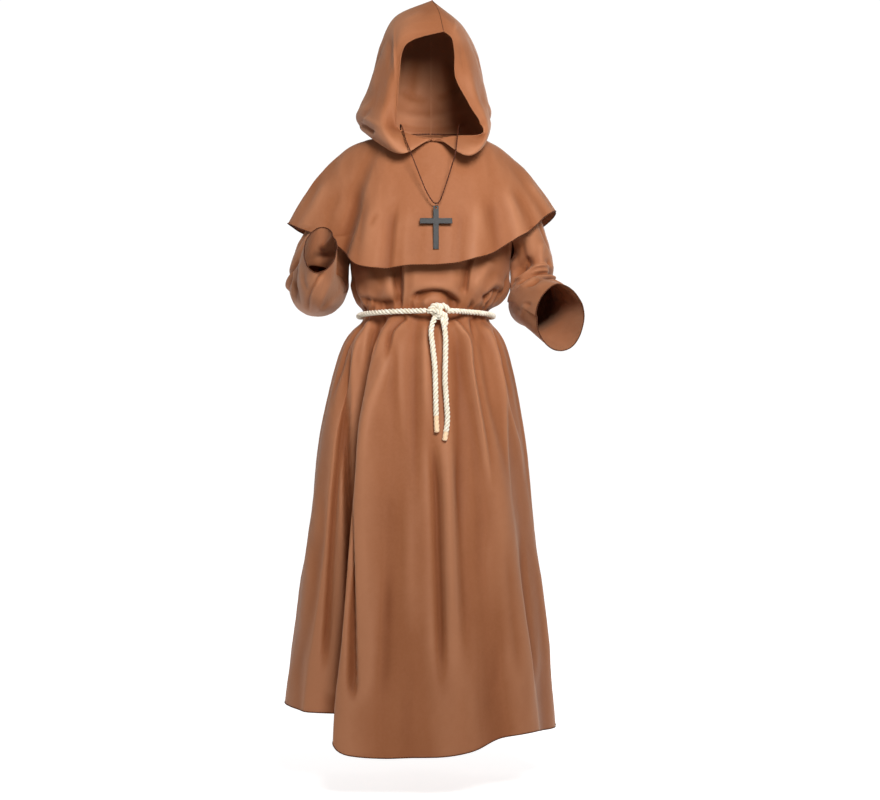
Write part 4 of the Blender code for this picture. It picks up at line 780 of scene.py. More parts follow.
def cape_point(angle, share):
    """Points of the capelet; the share is 0 at the neck seam and 1 at the hem."""
    angle, share = np.broadcast_arrays(np.asarray(angle, float), np.asarray(share, float))
    radians = np.radians(angle)
    ahead, across = np.cos(radians), np.sin(radians)
    sideways = np.abs(across)
    neck_y = np.where(ahead > 0.0, CAPE_NECK_FRONT, -CAPE_NECK_BACK) * ahead
    end_z = np.where(ahead > 0.0, CAPE_NECK_Z[0], CAPE_NECK_Z[2])
    neck = np.stack([CAPE_NECK_HALF_WIDTH * across, neck_y,
                     CAPE_NECK_Z[1] + (end_z - CAPE_NECK_Z[1]) * ahead * ahead], axis=-1)
    hem = interpolate(CAPE_HEM, np.where(angle <= 270.0, angle, angle - 360.0))
    over_shoulder = sideways ** 3
    side_drop = np.where(across > 0.0, CAPE_DROP[1], CAPE_DROP[2])
    spread = share ** (CAPE_SPREAD[0] + (CAPE_SPREAD[1] - CAPE_SPREAD[0]) * over_shoulder)
    drop = share ** (CAPE_DROP[0] + (side_drop - CAPE_DROP[0]) * over_shoulder)
    point = neck + (hem - neck) * np.stack([spread, spread, drop], axis=-1)
    lift = np.zeros(angle.shape)
    for middle, half_width, ridge, start in CAPE_FOLDS:
        lift += (ridge * bump(turn_between(angle, middle), half_width)
                 * smooth((share - start) / (1.0 - start)))
    return point + np.stack([across * lift, -ahead * lift, np.zeros(angle.shape)], axis=-1)


def cape_grid(first, last, columns):
    """Points of the capelet's front or back, rows from the hem up to the neck."""
    return cape_point(np.linspace(first, last, columns)[None, :],
                      np.linspace(1.0, 0.0, CAPE_ROWS)[:, None])


def hood_grid(table, side):
    """Points of one half of the hood, rows from the neck seam up."""
    marked = [(level,) + face + centre
              for level, face, centre in zip(HOOD_LEVELS, table, HOOD_CENTRE)]
    places = np.linspace(0.0, 1.0, HOOD_COLUMNS)
    angle = interpolate(HOOD_SEAM_ANGLES, places)[..., 0]
    seam = cape_point(side * angle, 0.0) + [0.0, 0.0, HOOD_SEAM_LIFT]
    rows = []
    shifts = None
    for level in np.linspace(0.0, 1.0, HOOD_ROWS):
        face, cheek, edge, centre = interpolate(marked, level).reshape(4, 3)
        quarter = np.array([HOOD_QUARTER[0] * edge[0] + (1.0 - HOOD_QUARTER[0]) * centre[0],
                            edge[1] + HOOD_QUARTER[1] * (centre[1] - edge[1]),
                            0.5 * (edge[2] + centre[2])])
        beyond = np.array([2.0 * centre[0] - quarter[0], quarter[1], quarter[2]])
        guides = [(place, *point) for place, point in
                  zip(HOOD_PLACES, (face, cheek, edge, quarter, centre, beyond))]
        line = interpolate(guides, places)
        if shifts is None:
            shifts = seam - line
        line = line + shifts * (1.0 - smooth(level / HOOD_SEAM_FADE))
        rows.append(line if side > 0 else line[::-1])
    return np.array(rows)


# Creases, meshes and tubes
def grid_normals(grid, wraps=False):
    """Outward directions at a grid's points."""
    up = np.gradient(grid, axis=0)
    if wraps:
        across = 0.5 * (np.roll(grid, -1, axis=1) - np.roll(grid, 1, axis=1))
    else:
        across = np.gradient(grid, axis=1)
    return unit(np.cross(across, up))


def crease_lift(places, creases):
    """Height of the creases at flat places, all in metres."""
    lift = np.zeros(places.shape[:-1])
    for route, height, left, right, fade_in, fade_out in creases:
        marks = [(index, *point) for index, point in enumerate(route)]
        line = interpolate(marks, np.linspace(0.0, len(route) - 1, CREASE_STEPS * len(route))) * 0.001
        left, right, height = left * 0.001, right * 0.001, height * 0.001
        reach = CREASE_CUT * max(left, right)
        inside = np.all((places > line.min(0) - reach) & (places < line.max(0) + reach), axis=-1)
        spots = places[inside]
        if not len(spots):
            continue
        best = np.full(len(spots), 1e9)
        hand = np.zeros(len(spots))
        share = np.zeros(len(spots))
        reached = length_along(line)
        reached = reached / reached[-1]
        for index in range(len(line) - 1):
            way = line[index + 1] - line[index]
            from_start = spots - line[index]
            t = np.clip(from_start @ way / (way @ way), 0.0, 1.0)
            gap = from_start - t[:, None] * way
            distance = np.linalg.norm(gap, axis=1)
            closer = distance < best
            best = np.where(closer, distance, best)
            hand = np.where(closer, way[0] * gap[:, 1] - way[1] * gap[:, 0], hand)
            at = reached[index] + (reached[index + 1] - reached[index]) * t
            share = np.where(closer, at, share)
        width = np.where(hand > 0.0, left, right)
        ends = smooth(share / fade_in) * smooth((1.0 - share) / fade_out)
        lift[inside] += height * np.exp(-(best / width) ** 2) * ends
    return lift


def cloth_places(grid, wraps=False):
    """Flat places of a grid's points on the cloth: along the rows and up the columns."""
    across = np.linalg.norm(np.diff(grid, axis=1), axis=2)
    up = np.linalg.norm(np.diff(grid, axis=0), axis=2)
    u = np.concatenate([np.zeros((len(grid), 1)), np.cumsum(across, axis=1)], axis=1)
    if not wraps:
        u = u - u[:, grid.shape[1] // 2][:, None]
    v = np.concatenate([np.zeros((1, grid.shape[1])), np.cumsum(up, axis=0)], axis=0)
    return np.stack([u, v], axis=-1)


def spread(values, reach, axis, wraps=False):
    """Means over a stretch along one axis of a grid."""
    pad = [(0, 0)] * values.ndim
    pad[axis] = (reach + 1, reach)
    padded = np.pad(values, pad, mode="wrap" if wraps else "edge")
    total = np.cumsum(padded, axis=axis)
    size = values.shape[axis]
    ends = np.take(total, np.arange(size) + 2 * reach + 1, axis=axis)
    starts = np.take(total, np.arange(size), axis=axis)
    return (ends - starts) / (2 * reach + 1)


def relief_for_painted_shade(grid, wraps=False):
    """How far each place stands out of the cloth round it: -1 in a furrow, 1 on a ridge. The cloth's
    finish turns it into painted shade and a painted highlight.
    """
    normals = grid_normals(grid, wraps)
    across = float(np.median(np.linalg.norm(np.diff(grid, axis=1), axis=2)))
    up = float(np.median(np.linalg.norm(np.diff(grid, axis=0), axis=2)))
    result = np.zeros(grid.shape[:2])
    for reach, height in RELIEF_SCALES:
        mean = grid
        for _ in range(2):
            mean = spread(mean, max(1, int(reach / across)), 1, wraps)
            mean = spread(mean, max(1, int(reach / up)), 0)
        apart = np.einsum("ijk,ijk->ij", grid - mean, normals)
        result += 0.5 * np.clip(apart / height, -1.6, 1.6)
    return np.clip(result, -1.0, 1.0)


def make_mesh(name, vertices, faces, finish, uv=None):
    """An object of one smooth mesh of four-cornered faces."""
    mesh = bpy.data.meshes.new(name)
    mesh.vertices.add(len(vertices))
    mesh.vertices.foreach_set("co", np.asarray(vertices, np.float32).ravel())
    mesh.loops.add(faces.size)
    mesh.loops.foreach_set("vertex_index", faces.astype(np.int32).ravel())
    mesh.polygons.add(len(faces))
    mesh.polygons.foreach_set("loop_start", np.arange(0, faces.size, 4, dtype=np.int32))
    mesh.update(calc_edges=True)
    if uv is not None:
        layer = mesh.uv_layers.new(name="cloth")
        layer.data.foreach_set("uv", np.asarray(uv, np.float32).reshape(-1, 2).ravel())
    mesh.shade_smooth()
    mesh.materials.append(finish)
    item = bpy.data.objects.new(name, mesh)
    bpy.context.scene.collection.objects.link(item)
    return item


def mark(item, name, values):
    """Store a value for each vertex, for the finish to read."""
    layer = item.data.attributes.new(name, "FLOAT", "POINT")
    layer.data.foreach_set("value", np.asarray(values, np.float32).ravel())


def grid_object(name, grid, finish, wraps=False):
    """An object of one thin layer through a grid's points."""
    height, width = grid.shape[:2]
    i, j = np.meshgrid(np.arange(height - 1), np.arange(width if wraps else width - 1), indexing="ij")
    k = (j + 1) % width
    faces = np.stack([i * width + j, i * width + k, (i + 1) * width + k, (i + 1) * width + j], axis=-1)
    faces = faces.reshape(-1, 4)
    places = cloth_places(np.concatenate([grid, grid[:, :1]], axis=1) if wraps else grid, wraps)
    corners = np.stack([places[i, j], places[i, j + 1], places[i + 1, j + 1], places[i + 1, j]], axis=2)
    item = make_mesh(name, grid.reshape(-1, 3), faces, finish, corners)
    # The relief, stored for the painted shade in furrows and the painted highlight on ridges
    mark(item, "relief_for_painted_shade", relief_for_painted_shade(grid, wraps))
    return item


def route_points(route, step):
    """Points at even steps along a smooth curve through a route's points."""
    route = np.asarray(route, float)
    lengths = length_along(route)
    marked = np.concatenate([lengths[:, None], route], axis=1)
    line = interpolate(marked, np.linspace(0.0, lengths[-1], 40 * len(route)))
    return points_at(line, max(2, int(round(length_along(line)[-1] / step)) + 1))


def ring_frames(points, closed=False):
    """Two directions across a line at each of its points, without twist."""
    if closed:
        along = unit(np.roll(points, -1, axis=0) - np.roll(points, 1, axis=0))
    else:
        along = unit(np.gradient(points, axis=0))
    first = np.cross(along[0], [0.0, 0.0, 1.0])
    if np.linalg.norm(first) < 0.1:
        first = np.cross(along[0], [0.0, 1.0, 0.0])
    first = unit(first)
    sides = [first]
    for way in along[1:]:
        side = sides[-1] - way * (sides[-1] @ way)
        sides.append(side / np.linalg.norm(side))
    sides = np.array(sides)
    return sides, np.cross(along, sides)


def sweep(name, points, radii, finish, closed=False):
    """A tube along points. The radii are given round each ring: rings by sides."""
    count, around = radii.shape
    first, second = ring_frames(points, closed)
    turns = np.linspace(0.0, math.tau, around, endpoint=False)
    ring = (first[:, None] * np.cos(turns)[None, :, None]
            + second[:, None] * np.sin(turns)[None, :, None])
    vertices = (points[:, None] + ring * radii[..., None]).reshape(-1, 3)
    i, j = np.meshgrid(np.arange(count if closed else count - 1), np.arange(around), indexing="ij")
    k, up = (j + 1) % around, (i + 1) % count
    faces = np.stack([i * around + j, i * around + k, up * around + k, up * around + j], axis=-1)
    reached = length_along(np.concatenate([points, points[:1]]))
    girth = math.tau * float(np.median(radii)) / around
    corners = np.stack([np.stack([(j + a) * girth, reached[i + b]], -1)
                        for a, b in ((0, 0), (1, 0), (1, 1), (0, 1))], axis=2)
    faces, corners = faces.reshape(-1, 4), corners.reshape(-1, 4, 2)
    if not closed:
        for end, sign in ((0, -1.0), (count - 1, 1.0)):
            base = len(vertices)
            along = unit(points[end] - points[end - 1 if end else 1])
            rim = vertices[end * around:(end + 1) * around]
            bulge = along * float(radii[end].mean()) * 0.3
            inner = points[end] + (rim - points[end]) * 0.55 + bulge
            core = points[end] + (rim - points[end]) * 0.02 + bulge * 1.15
            vertices = np.concatenate([vertices, inner, core])
            j = np.arange(around)
            k = (j + 1) % around
            start = end * around
            for low, high in ((start, base), (base, base + around)):
                face = np.stack([low + j, low + k, high + k, high + j], -1)
                faces = np.concatenate([faces, face if sign > 0 else face[:, ::-1]])
                corners = np.concatenate([corners, np.zeros((around, 4, 2))])
    item = make_mesh(name, vertices, faces, finish, corners)
    low, high = float(radii.min()), float(radii.max())
    if high - low > 0.0005:
        values = np.zeros(len(vertices))
        values[:radii.size] = ((high - radii) / (high - low)).ravel()
        mark(item, "groove", values)
    return item


def rope_radii(points, start=0.0):
    """The outline of a three-strand rope, turning along its line."""
    turns = np.linspace(0.0, math.tau, ROPE_SIDES, endpoint=False)[None, :]
    turned = turns - (length_along(points)[:, None] / ROPE_TURN + start) * math.tau
    from_strand = (turned * 3.0 / math.tau) % 1.0 - 0.5
    off = from_strand * math.tau / 3.0
    return (STRAND_OFFSET * np.cos(off)
            + np.sqrt(STRAND_RADIUS ** 2 - (STRAND_OFFSET * np.sin(off)) ** 2))


# Finishes, each a small tree of nodes
class Tree:
    """A node tree with short ways to add to it."""

    def __init__(self, tree):
        self.nodes, self.links = tree.nodes, tree.links

    def fill(self, node, inputs):
        """Set a node's inputs to values, or link them to other nodes' outputs."""
        for place, value in inputs.items():
            if isinstance(value, bpy.types.NodeSocket):
                self.links.new(value, node.inputs[place])
            elif isinstance(value, tuple):
                node.inputs[place].default_value = (*value, 1.0)
            else:
                node.inputs[place].default_value = value

    def add(self, kind, inputs, output=0, **settings):
        """Add a node and give back one of its outputs."""
        node = self.nodes.new(kind)
        for name, value in settings.items():
            setattr(node, name, value)
        self.fill(node, inputs)
        return node.outputs[output]

    def math(self, operation, *values):
        """A sum, product or the like."""
        return self.add("ShaderNodeMath", dict(enumerate(values)), operation=operation)

    def noise(self, place, scale, detail=2.0, roughness=0.5):
        """A noise texture's value."""
        return self.add("ShaderNodeTexNoise", {"Vector": place, "Scale": scale, "Detail": detail,
                                               "Roughness": roughness})

    def wave(self, place, direction, scale, distortion, detail, detail_scale=1.0):
        """A wave texture's value."""
        return self.add("ShaderNodeTexWave",
                        {"Vector": place, "Scale": scale, "Distortion": distortion, "Detail": detail,
                         "Detail Scale": detail_scale}, "Fac", bands_direction=direction)

    def mix(self, factor, first, second):
        """A colour between two."""
        return self.add("ShaderNodeMix", {0: factor, 6: first, 7: second}, 2, data_type="RGBA")

    def ramp(self, value, low, high, start=0.0, end=1.0):
        """A value spread between two limits."""
        return self.add("ShaderNodeMapRange", {"Value": value, "From Min": low, "From Max": high,
                                               "To Min": start, "To Max": end}, "Result")

    def raised(self, height, strength, distance, below=None):
        """The direction of a surface raised by a height, over another direction if one is given."""
        inputs = {"Height": height, "Strength": strength, "Distance": distance}
        if below is not None:
            inputs["Normal"] = below
        return self.add("ShaderNodeBump", inputs, "Normal")

    def flat_place(self):
        """Places on the flat cloth or rope."""
        return self.add("ShaderNodeUVMap", {}, "UV", uv_map="cloth")

    def body_place(self):
        """Places on the object itself."""
        return self.add("ShaderNodeTexCoord", {}, "Object")

    def stored(self, name):
        """A value stored for each vertex."""
        return self.add("ShaderNodeAttribute", {}, "Fac", attribute_name=name)


def new_finish(name):
    """A material, its tree and its main shader."""
    finish = bpy.data.materials.new(name)
    finish.use_nodes = True
    tree = Tree(finish.node_tree)
    return finish, tree, tree.nodes["Principled BSDF"]


def cloth_finish():
    """Light brown woven polyester with a soft sheen, with painted shade in its furrows and a painted
    highlight on its ridges.
    """
    finish, tree, shader = new_finish("brown cloth")
    place, body = tree.flat_place(), tree.body_place()
    cloudy = tree.noise(body, 9.0, 3.0)
    slub = tree.math("MULTIPLY", tree.ramp(tree.noise(body, 160.0), 0.35, 0.75), 0.10)
    colour = tree.mix(tree.ramp(cloudy, 0.30, 0.70), (0.262, 0.091, 0.036), (0.285, 0.102, 0.042))
    colour = tree.mix(slub, colour, (0.40, 0.165, 0.085))
    # Painted shade and painted highlight: the stored relief darkens the colour in the cloth's furrows and
    # pales it on its ridges
    fold = tree.stored("relief_for_painted_shade")
    furrow = tree.math("MULTIPLY", tree.ramp(fold, -0.08, -1.0), 0.52)
    ridge = tree.math("MULTIPLY", tree.ramp(fold, 0.10, 1.0), 0.42)
    # Painted shade in the furrows, towards a near black brown
    colour = tree.mix(furrow, colour, (0.130, 0.028, 0.006))
    # Painted highlight on the ridges, towards a pale tan
    colour = tree.mix(ridge, colour, (0.47, 0.215, 0.115))
    threads = tree.math("MULTIPLY", *[tree.wave(place, way, 420.0, 0.6, 1.0, 2.0) for way in ("X", "Y")])
    crinkled = tree.raised(tree.noise(body, 38.0, 3.0, 0.55), 0.20, 0.0016)
    tree.fill(shader, {
        "Base Color": colour,
        "Normal": tree.raised(threads, 0.12, 0.00025, crinkled),
        "Roughness": tree.ramp(cloudy, 0.3, 0.7, 0.52, 0.62),
        "Specular IOR Level": 0.13,
        "Specular Tint": (1.0, 0.90, 0.80),
        "Sheen Weight": 0.14,
        "Sheen Roughness": 0.5,
        "Sheen Tint": (1.0, 0.74, 0.54),
    })
    return finish


def thread_finish():
    """Dark brown overlock thread round the cut edges."""
    finish, tree, shader = new_finish("overlock thread")
    stitches = tree.wave(tree.flat_place(), "DIAGONAL", 110.0, 0.4, 1.0)
    tree.fill(shader, {
        "Base Color": tree.mix(stitches, (0.050, 0.014, 0.005), (0.125, 0.038, 0.013)),
        "Normal": tree.raised(stitches, 0.8, 0.0005),
        "Roughness": 0.75,
        "Specular IOR Level": 0.12,
        "Sheen Weight": 0.05,
    })
    return finish


def rope_finish():
    """Ivory cotton rope with fine yarns, darker in its grooves, and smooth tape at its tips."""
    finish, tree, shader = new_finish("cotton rope")
    body = tree.body_place()
    yarns = tree.wave(tree.flat_place(), "Y", 210.0, 1.6, 2.0, 1.5)
    fluff = tree.noise(body, 900.0)
    patch = tree.ramp(tree.noise(body, 70.0), 0.35, 0.7)
    tape = tree.stored("tape")
    # The colour darkens towards brown in the grooves between the strands
    darker_in_grooves = tree.math("MULTIPLY", tree.ramp(tree.stored("groove"), 0.35, 1.0), 0.7)
    colour = tree.mix(patch, (0.78, 0.70, 0.54), (0.90, 0.85, 0.72))
    colour = tree.mix(darker_in_grooves, colour, (0.36, 0.27, 0.17))
    colour = tree.mix(tape, colour, (0.82, 0.58, 0.36))
    rough = tree.math("ADD", tree.math("MULTIPLY", yarns, 0.7), tree.math("MULTIPLY", fluff, 0.5))
    rough = tree.math("MULTIPLY", rough, tree.math("SUBTRACT", 1.0, tape))
    tree.fill(shader, {
        "Base Color": colour,
        "Normal": tree.raised(rough, 0.55, 0.0006),
        "Roughness": 0.82,
        "Sheen Weight": 0.35,
        "Sheen Roughness": 0.5,
    })
    return finish


def cord_finish():
    """Dark brown waxed cord."""
    finish, tree, shader = new_finish("waxed cord")
    speck = tree.noise(tree.body_place(), 1500.0)
    tree.fill(shader, {
        "Base Color": tree.mix(speck, (0.040, 0.008, 0.003), (0.090, 0.022, 0.008)),
        "Normal": tree.raised(speck, 0.3, 0.0002),
        "Roughness": 0.6,
        "Specular IOR Level": 0.2,
    })
    return finish


def cross_finish():
    """Near black coating, rubbed to bare metal at the edges."""
    finish, tree, shader = new_finish("cross_coating")
    patch = tree.noise(tree.body_place(), 260.0, 4.0, 0.65)
    rounded = tree.add("ShaderNodeBevel", {"Radius": 0.0011}, "Normal", samples=6)
    flat = tree.add("ShaderNodeNewGeometry", {}, "Normal")
    alike = tree.add("ShaderNodeVectorMath", {0: rounded, 1: flat}, "Value", operation="DOT_PRODUCT")
    edge = tree.ramp(alike, 0.995, 0.88)
    rubbed = tree.math("MULTIPLY", edge, tree.ramp(patch, 0.40, 0.62))
    grain = tree.mix(tree.ramp(patch, 0.35, 0.72), (0.006, 0.0054, 0.0050), (0.024, 0.0215, 0.020))
    tree.fill(shader, {
        "Base Color": tree.mix(rubbed, grain, (0.20, 0.20, 0.21)),
        "Metallic": tree.math("MULTIPLY", rubbed, 0.9),
        "Normal": tree.raised(patch, 0.5, 0.0005),
        "Roughness": 0.50,
        "Specular IOR Level": 0.35,
    })
    return finish


def wire_finish():
    """Darkened steel wire."""
    finish, tree, shader = new_finish("ring wire")
    patch = tree.noise(tree.body_place(), 900.0)
    tree.fill(shader, {
        "Base Color": tree.mix(patch, (0.06, 0.055, 0.05), (0.20, 0.18, 0.16)),
        "Metallic": 1.0,
        "Roughness": 0.35,
    })
    return finish


# The garment's pieces
CLOTH = cloth_finish()
THREAD = thread_finish()
ROPE = rope_finish()


def dress(grid, creases, seed, wraps=False, waves=1.0):
    """Lay creases and soft unevenness on a grid of cloth."""
    normals = grid_normals(grid, wraps)
    lift = np.zeros(grid.shape[:2])
    for view, rows in creases.items():
        axes, axis, sign = VIEWS[view]
        seen = smooth((sign * normals[..., axis] - 0.05) / 0.30)
        lift += crease_lift(grid[..., list(axes)], rows) * seen
    places = cloth_places(grid)
    wave, size, moved = FINE_WAVE
    uneven = wave * ripple(places + moved, size, seed + len(CLOTH_WAVES))
    for index, (wave, size, moved) in enumerate(CLOTH_WAVES):
        uneven += wave * ripple(places * CLOTH_DRAWN_OUT + moved, size, seed + index)
    return grid + normals * (lift + waves * uneven)[..., None]


def mirrored(rows):
    """The same creases on the garment's other side."""
    return [(tuple((-x, z) for x, z in route), height, right, left, start, end)
            for route, height, left, right, start, end in rows]


def settle(item, nodes=()):
    """Put a piece on the costume's body and hide the parts it stands for."""
    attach(item, "costume")
    if nodes:
        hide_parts(*nodes)
    return item


def lay_cloth(node, grid, wraps=False):
    """One thin layer of cloth in a node's place."""
    settle(grid_object(node + "_cloth", grid, CLOTH, wraps), [node])


def edge_roll(name, line, radius, finish, closed=True):
    """A thin roll along an edge of the cloth."""
    points = points_at(line, max(8, int(length_along(line)[-1] / ROLL_STEP)), closed)
    radii = np.full((len(points), ROLL_SIDES), radius)
    settle(sweep(name, points, radii, finish, closed))


def front_and_back(name, front, back):
    """Two panels that meet at both sides, and the line round their hem."""
    back[:, 0] = front[:, -1]
    back[:, -1] = front[:, 0]
    lay_cloth(name + "_front", front)
    lay_cloth(name + "_back", back)
    return np.concatenate([front[0], back[0, 1:]])


def build_robe():
    """The robe's front and back, and the edges at its hem and neck."""
    sides = {"left": ROBE_SIDE_CREASES, "right": ROBE_SIDE_CREASES}
    front = dress(robe_grid(-90.0, 90.0, ROBE_FRONT_COLUMNS, 1), {"front": ROBE_CREASES, **sides}, 11)
    back = dress(robe_grid(90.0, 270.0, ROBE_BACK_COLUMNS, -1), {"back": ROBE_BACK_CREASES, **sides}, 21)
    hem = front_and_back("robe", front, back)
    edge_roll("robe_hem_thread", hem, HEM_ROLL, THREAD)
    top = [grid[-1, np.abs(np.linspace(-1.0, 1.0, grid.shape[1])) < NECK_SHARE] for grid in (front, back)]
    edge_roll("robe_neck_edge", np.concatenate(top), NECK_ROLL, CLOTH)


def build_sleeves():
    """Both sleeves with their open cuffs."""
    right = {"front": RIGHT_SLEEVE_CREASES, "back": mirrored(SLEEVE_BACK_CREASES),
             "right": SLEEVE_OUTER_CREASES, "left": SLEEVE_INNER_CREASES}
    left = {"front": LEFT_SLEEVE_CREASES, "back": SLEEVE_BACK_CREASES,
            "left": SLEEVE_OUTER_CREASES, "right": SLEEVE_INNER_CREASES}
    for name, side, table, creases, seed in (("sleeve_right", -1.0, RIGHT_SLEEVE, right, 31),
                                             ("sleeve_left", 1.0, LEFT_SLEEVE, left, 41)):
        grid = dress(sleeve_grid(side, table), creases, seed, True)
        lay_cloth(name, grid, True)
        edge_roll(name + "_cuff_thread", np.concatenate([grid[-1], grid[-1, :1]]), HEM_ROLL, THREAD)


def build_cape():
    """The capelet's front and back, and the edge at its hem."""
    sides = {"left": CAPE_SIDE_CREASES, "right": CAPE_SIDE_CREASES}
    front = dress(cape_grid(-90.0, 90.0, CAPE_COLUMNS), {"front": CAPE_CREASES, **sides}, 51)
    back = dress(cape_grid(90.0, 270.0, CAPE_COLUMNS), {"back": CAPE_BACK_CREASES, **sides}, 61)
    edge_roll("cape_hem_thread", front_and_back("cape", front, back), CAPE_HEM_ROLL, THREAD)


def build_hood():
    """The hood's two halves, the turned edges round the face and the seam over the crown."""
    creases = {"front": HOOD_CREASES, "back": HOOD_BACK_CREASES, "left": HOOD_SIDE_CREASES,
               "right": HOOD_SIDE_CREASES}
    right = dress(hood_grid(HOOD_RIGHT, -1.0), creases, 71, waves=HOOD_WAVES)
    left = dress(hood_grid(HOOD_LEFT, 1.0), creases, 81, waves=HOOD_WAVES)
    left[:, -1] = right[:, 0]
    left[-1] = right[-1, ::-1]
    lay_cloth("hood_right", right)
    lay_cloth("hood_left", left)
    edge_roll("hood_right_face_edge", right[:, -1], HEM_ROLL, CLOTH, False)
    edge_roll("hood_left_face_edge", left[:, 0], HEM_ROLL, CLOTH, False)
    edge_roll("hood_seam_thread", right[-1], SEAM_ROLL, THREAD, False)


def belt_route():
    """The belt's middle line, from one side of the knot round the waist to the other."""
    angle = np.arange(721) * 0.5
    ahead = np.cos(np.radians(angle))
    height = BELT_SIDE_Z + (BELT_FRONT_Z - BELT_SIDE_Z) * np.maximum(ahead, 0.0)
    level = np.full(angle.shape, WAIST)
    way = unit(robe_ring(angle + 1.0, level) - robe_ring(angle - 1.0, level))
    outward = np.cross(way, [0.0, 0.0, 1.0])
    point = robe_ring(angle, level) + outward * (ROPE_RADIUS + BELT_CLEARANCE)
    point[:, 2] = height
    from_knot = np.abs(point[:, 0] - KNOT_CENTRE[0])
    near_knot = (1.0 - smooth((from_knot - KNOT_HALF_GAP) / BELT_JOINS_KNOT)) * (ahead > 0.0)
    point[:, 1] += (KNOT_CENTRE[1] - point[:, 1]) * near_knot
    kept = point[(ahead < 0.0) | (from_knot > KNOT_HALF_GAP)]
    start = int(np.argmax(np.linalg.norm(kept - np.roll(kept, 1, axis=0), axis=1)))
    return np.roll(kept, -start, axis=0)


def mark_tape(item, points, tape_length):
    """Mark a rope's taped tip for its finish."""
    reached = length_along(points)
    taped = smooth((reached - (reached[-1] - tape_length)) / TAPE_EDGE)
    values = np.repeat(taped, ROPE_SIDES)
    rest = len(item.data.vertices) - len(values)
    mark(item, "tape", np.concatenate([values, np.zeros(rest // 2), np.full(rest - rest // 2, taped[-1])]))


def build_belt():
    """The rope round the waist, its knot and its two hanging ends."""
    loop = route_points(belt_route()[::6], ROPE_STEP)
    settle(sweep("belt_rope", loop, rope_radii(loop), ROPE), ["belt_loop"])
    for index, route in enumerate(KNOT_STRANDS):
        points = route_points(route, KNOT_STEP)
        strand = sweep("knot_strand_%d" % (index + 1), points, rope_radii(points, 0.4 * index), ROPE)
        settle(strand, [] if index else ["belt_knot"])
    for node, route in (("belt_end_right", BELT_END_RIGHT), ("belt_end_left", BELT_END_LEFT)):
        tape_length = TAPE_LENGTHS[node]
        points = route_points(route, ROPE_STEP)
        radii = rope_radii(points, 0.2)
        reached = np.arange(len(points)) * ROPE_STEP
        taped = smooth((reached - (reached[-1] - tape_length)) / TAPE_TIGHTENS)[:, None]
        radii = radii + TAPE_SHARE * (TAPE_RADIUS - radii) * taped
        item = settle(sweep(node + "_rope", points, radii, ROPE), [node])
        mark_tape(item, points, tape_length)


def cross_curve(hole):
    """The cross's outline with its hole, as a bevelled flat shape round the cord's lowest point."""
    top = hole + CROSS_HOLE_DROP
    bar, arm = 0.5 * CROSS_BAR, 0.5 * CROSS_WIDTH
    arm_top, arm_low = top - CROSS_ARM_DROP + bar, top - CROSS_ARM_DROP - bar
    foot = top - CROSS_HEIGHT
    curve = bpy.data.curves.new("cross", "CURVE")
    curve.dimensions = "2D"
    curve.fill_mode = "BOTH"
    curve.extrude = 0.5 * CROSS_THICK - CROSS_EDGE
    curve.bevel_depth = CROSS_EDGE
    curve.bevel_resolution = 4
    curve.offset = -CROSS_EDGE
    half = [(bar, top), (bar, arm_top), (arm, arm_top), (arm, arm_low), (bar, arm_low), (bar, foot)]
    turns = [math.tau * step / HOLE_STEPS for step in range(HOLE_STEPS)]
    rim = [(CROSS_HOLE * math.sin(turn), hole + CROSS_HOLE * math.cos(turn)) for turn in turns]
    for corners in (half + [(-x, z) for x, z in reversed(half)], rim):
        spline = curve.splines.new("POLY")
        spline.points.add(len(corners) - 1)
        spline.use_cyclic_u = True
        for spot, (x, z) in zip(spline.points, corners):
            spot.co = (x, z, 0.0, 1.0)
    return curve


def build_necklace():
    """The cord, the ring and the cross."""
    points = route_points(CORD_ROUTE, CORD_STEP)
    reached = np.arange(len(points)) * CORD_STEP
    turns = np.linspace(0.0, math.tau, CORD_SIDES, endpoint=False)[None, :]
    plait = np.cos(2.0 * turns - reached[:, None] / CORD_PLAIT * math.tau)
    radii = CORD_RADIUS * (CORD_BULGE[0] + CORD_BULGE[1] * plait)
    cord = settle(sweep("neck_cord", points, radii, cord_finish()), ["necklace_cord"])
    lowest = Vector(CORD_ROUTE[CORD_LOWEST])
    ring_drop = RING_RADIUS - RING_WIRE - CORD_RADIUS - CORD_PLAY
    hole = -ring_drop - (RING_RADIUS - RING_WIRE) + RING_PLAY - CROSS_HOLE
    curve = cross_curve(hole)
    curve.materials.append(cross_finish())
    cross = bpy.data.objects.new("cross_coating", curve)
    bpy.context.scene.collection.objects.link(cross)
    cross.location = lowest
    cross.rotation_euler = (math.radians(90.0 + CROSS_LEAN), 0.0, 0.0)
    turns = np.linspace(0.0, math.tau, RING_STEPS, endpoint=False)
    across, up = RING_RADIUS * np.sin(turns), RING_RADIUS * np.cos(turns) - ring_drop
    circle = np.stack([np.zeros(RING_STEPS), across, up], axis=-1)
    lean = np.array(Matrix.Rotation(math.radians(CROSS_LEAN), 3, "X"))
    circle = circle @ lean.T + np.array(lowest)
    ring = sweep("cross_ring", circle, np.full((RING_STEPS, 12), RING_WIRE), wire_finish(), True)
    for item, node, slot in ((cross, "cross", "cross"), (ring, "jump_ring", "metal")):
        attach(item, "cross")
        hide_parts(node)


# The studio
def lamp(name, place, size, power, spread_angle):
    """A soft lamp with a flat face, turned towards the garment."""
    data = bpy.data.lights.new(name, "AREA")
    data.shape = "RECTANGLE"
    data.size, data.size_y = size
    data.energy = power
    data.spread = math.radians(spread_angle)
    item = bpy.data.objects.new(name, data)
    bpy.context.scene.collection.objects.link(item)
    item.location = place
    item.rotation_euler = (Vector(LAMP_TARGET) - Vector(place)).to_track_quat("-Z", "Y").to_euler()
    return item


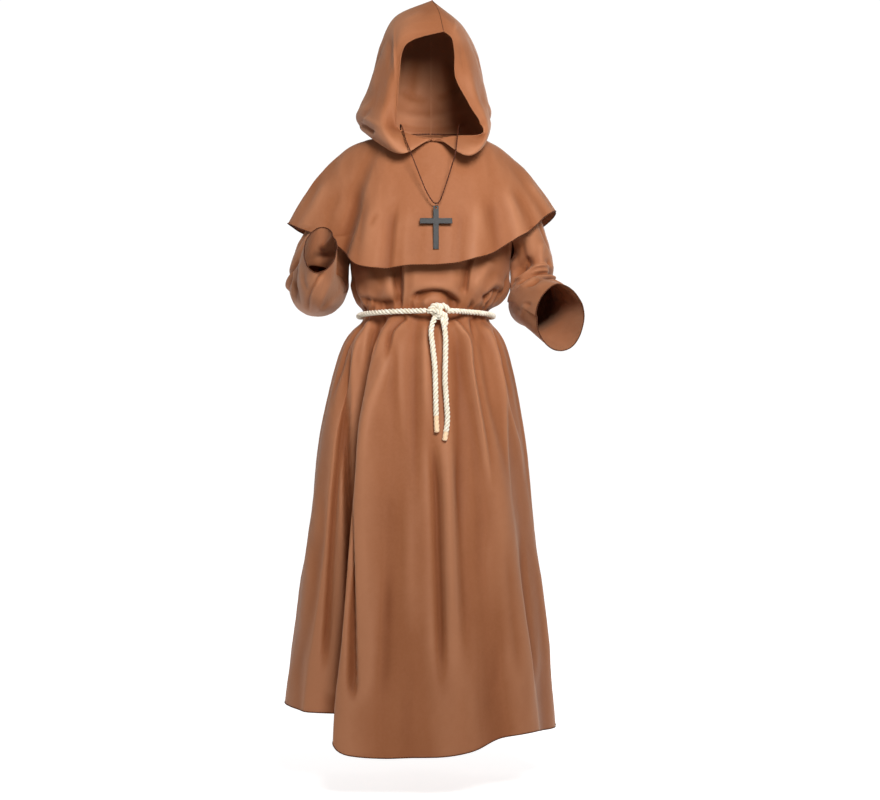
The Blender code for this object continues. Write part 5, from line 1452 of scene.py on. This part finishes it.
def studio_floor():
    """A wide pale floor with a glow that is set by its depth."""
    steps = np.linspace(-FLOOR_REACH, FLOOR_REACH, 25)
    grid = np.array([[(x, y, FLOOR_Z) for x in steps] for y in steps])
    finish, tree, shader = new_finish("pale floor")
    place = tree.body_place()
    depth = tree.add("ShaderNodeSeparateXYZ", {0: place}, "Y")
    near, behind, before = [tree.math("MULTIPLY", tree.ramp(depth, start, end), strength)
                            for start, end, strength in FLOOR_GLOW]
    tree.fill(shader, {
        "Base Color": tree.mix(tree.noise(place, 1.5), (0.76, 0.76, 0.76), (0.79, 0.79, 0.79)),
        "Emission Color": (1.0, 1.0, 1.0),
        "Emission Strength": tree.math("ADD", tree.math("ADD", near, behind), before),
        "Roughness": 0.9,
        "Specular IOR Level": 0.1,
    })
    return grid_object("floor", grid, finish)


def studio_world():
    """A pale band round the horizon, brighter behind the garment, under a dimmer ceiling."""
    world = bpy.data.worlds.new("studio")
    world.use_nodes = True
    tree = Tree(world.node_tree)
    place = tree.add("ShaderNodeTexCoord", {}, "Generated")
    height = tree.math("ABSOLUTE", tree.add("ShaderNodeSeparateXYZ", {0: place}, "Z"))
    depth = tree.add("ShaderNodeSeparateXYZ", {0: place}, "Y")
    band = tree.math("SUBTRACT", 1.0, tree.ramp(height, 0.20, 0.34))
    behind = tree.math("MULTIPLY", tree.ramp(depth, -0.3, 0.5), 0.82)
    strength = tree.math("MULTIPLY", band, tree.math("ADD", behind, 0.12))
    tree.fill(tree.nodes["Background"], {"Color": (1.0, 1.0, 1.0),
                                         "Strength": tree.math("ADD", strength, 0.10)})
    return world


def build_studio():
    """Camera, floor and soft lamps."""
    scene = bpy.context.scene
    camera = bpy.data.objects.new("camera", bpy.data.cameras.new("camera"))
    scene.collection.objects.link(camera)
    camera.location = CAMERA_PLACE
    camera.rotation_euler = (math.radians(90.0), 0.0, 0.0)
    camera.data.sensor_width = CAMERA_SENSOR
    camera.data.lens = CAMERA_LENS
    scene.camera = camera
    scene.world = studio_world()
    scene.view_settings.view_transform = "Standard"
    lamps = [lamp(name, *values) for name, values in LAMPS.items()]
    studio_floor()


build_robe()
build_sleeves()
build_cape()
build_hood()
build_belt()
build_necklace()

build_studio()
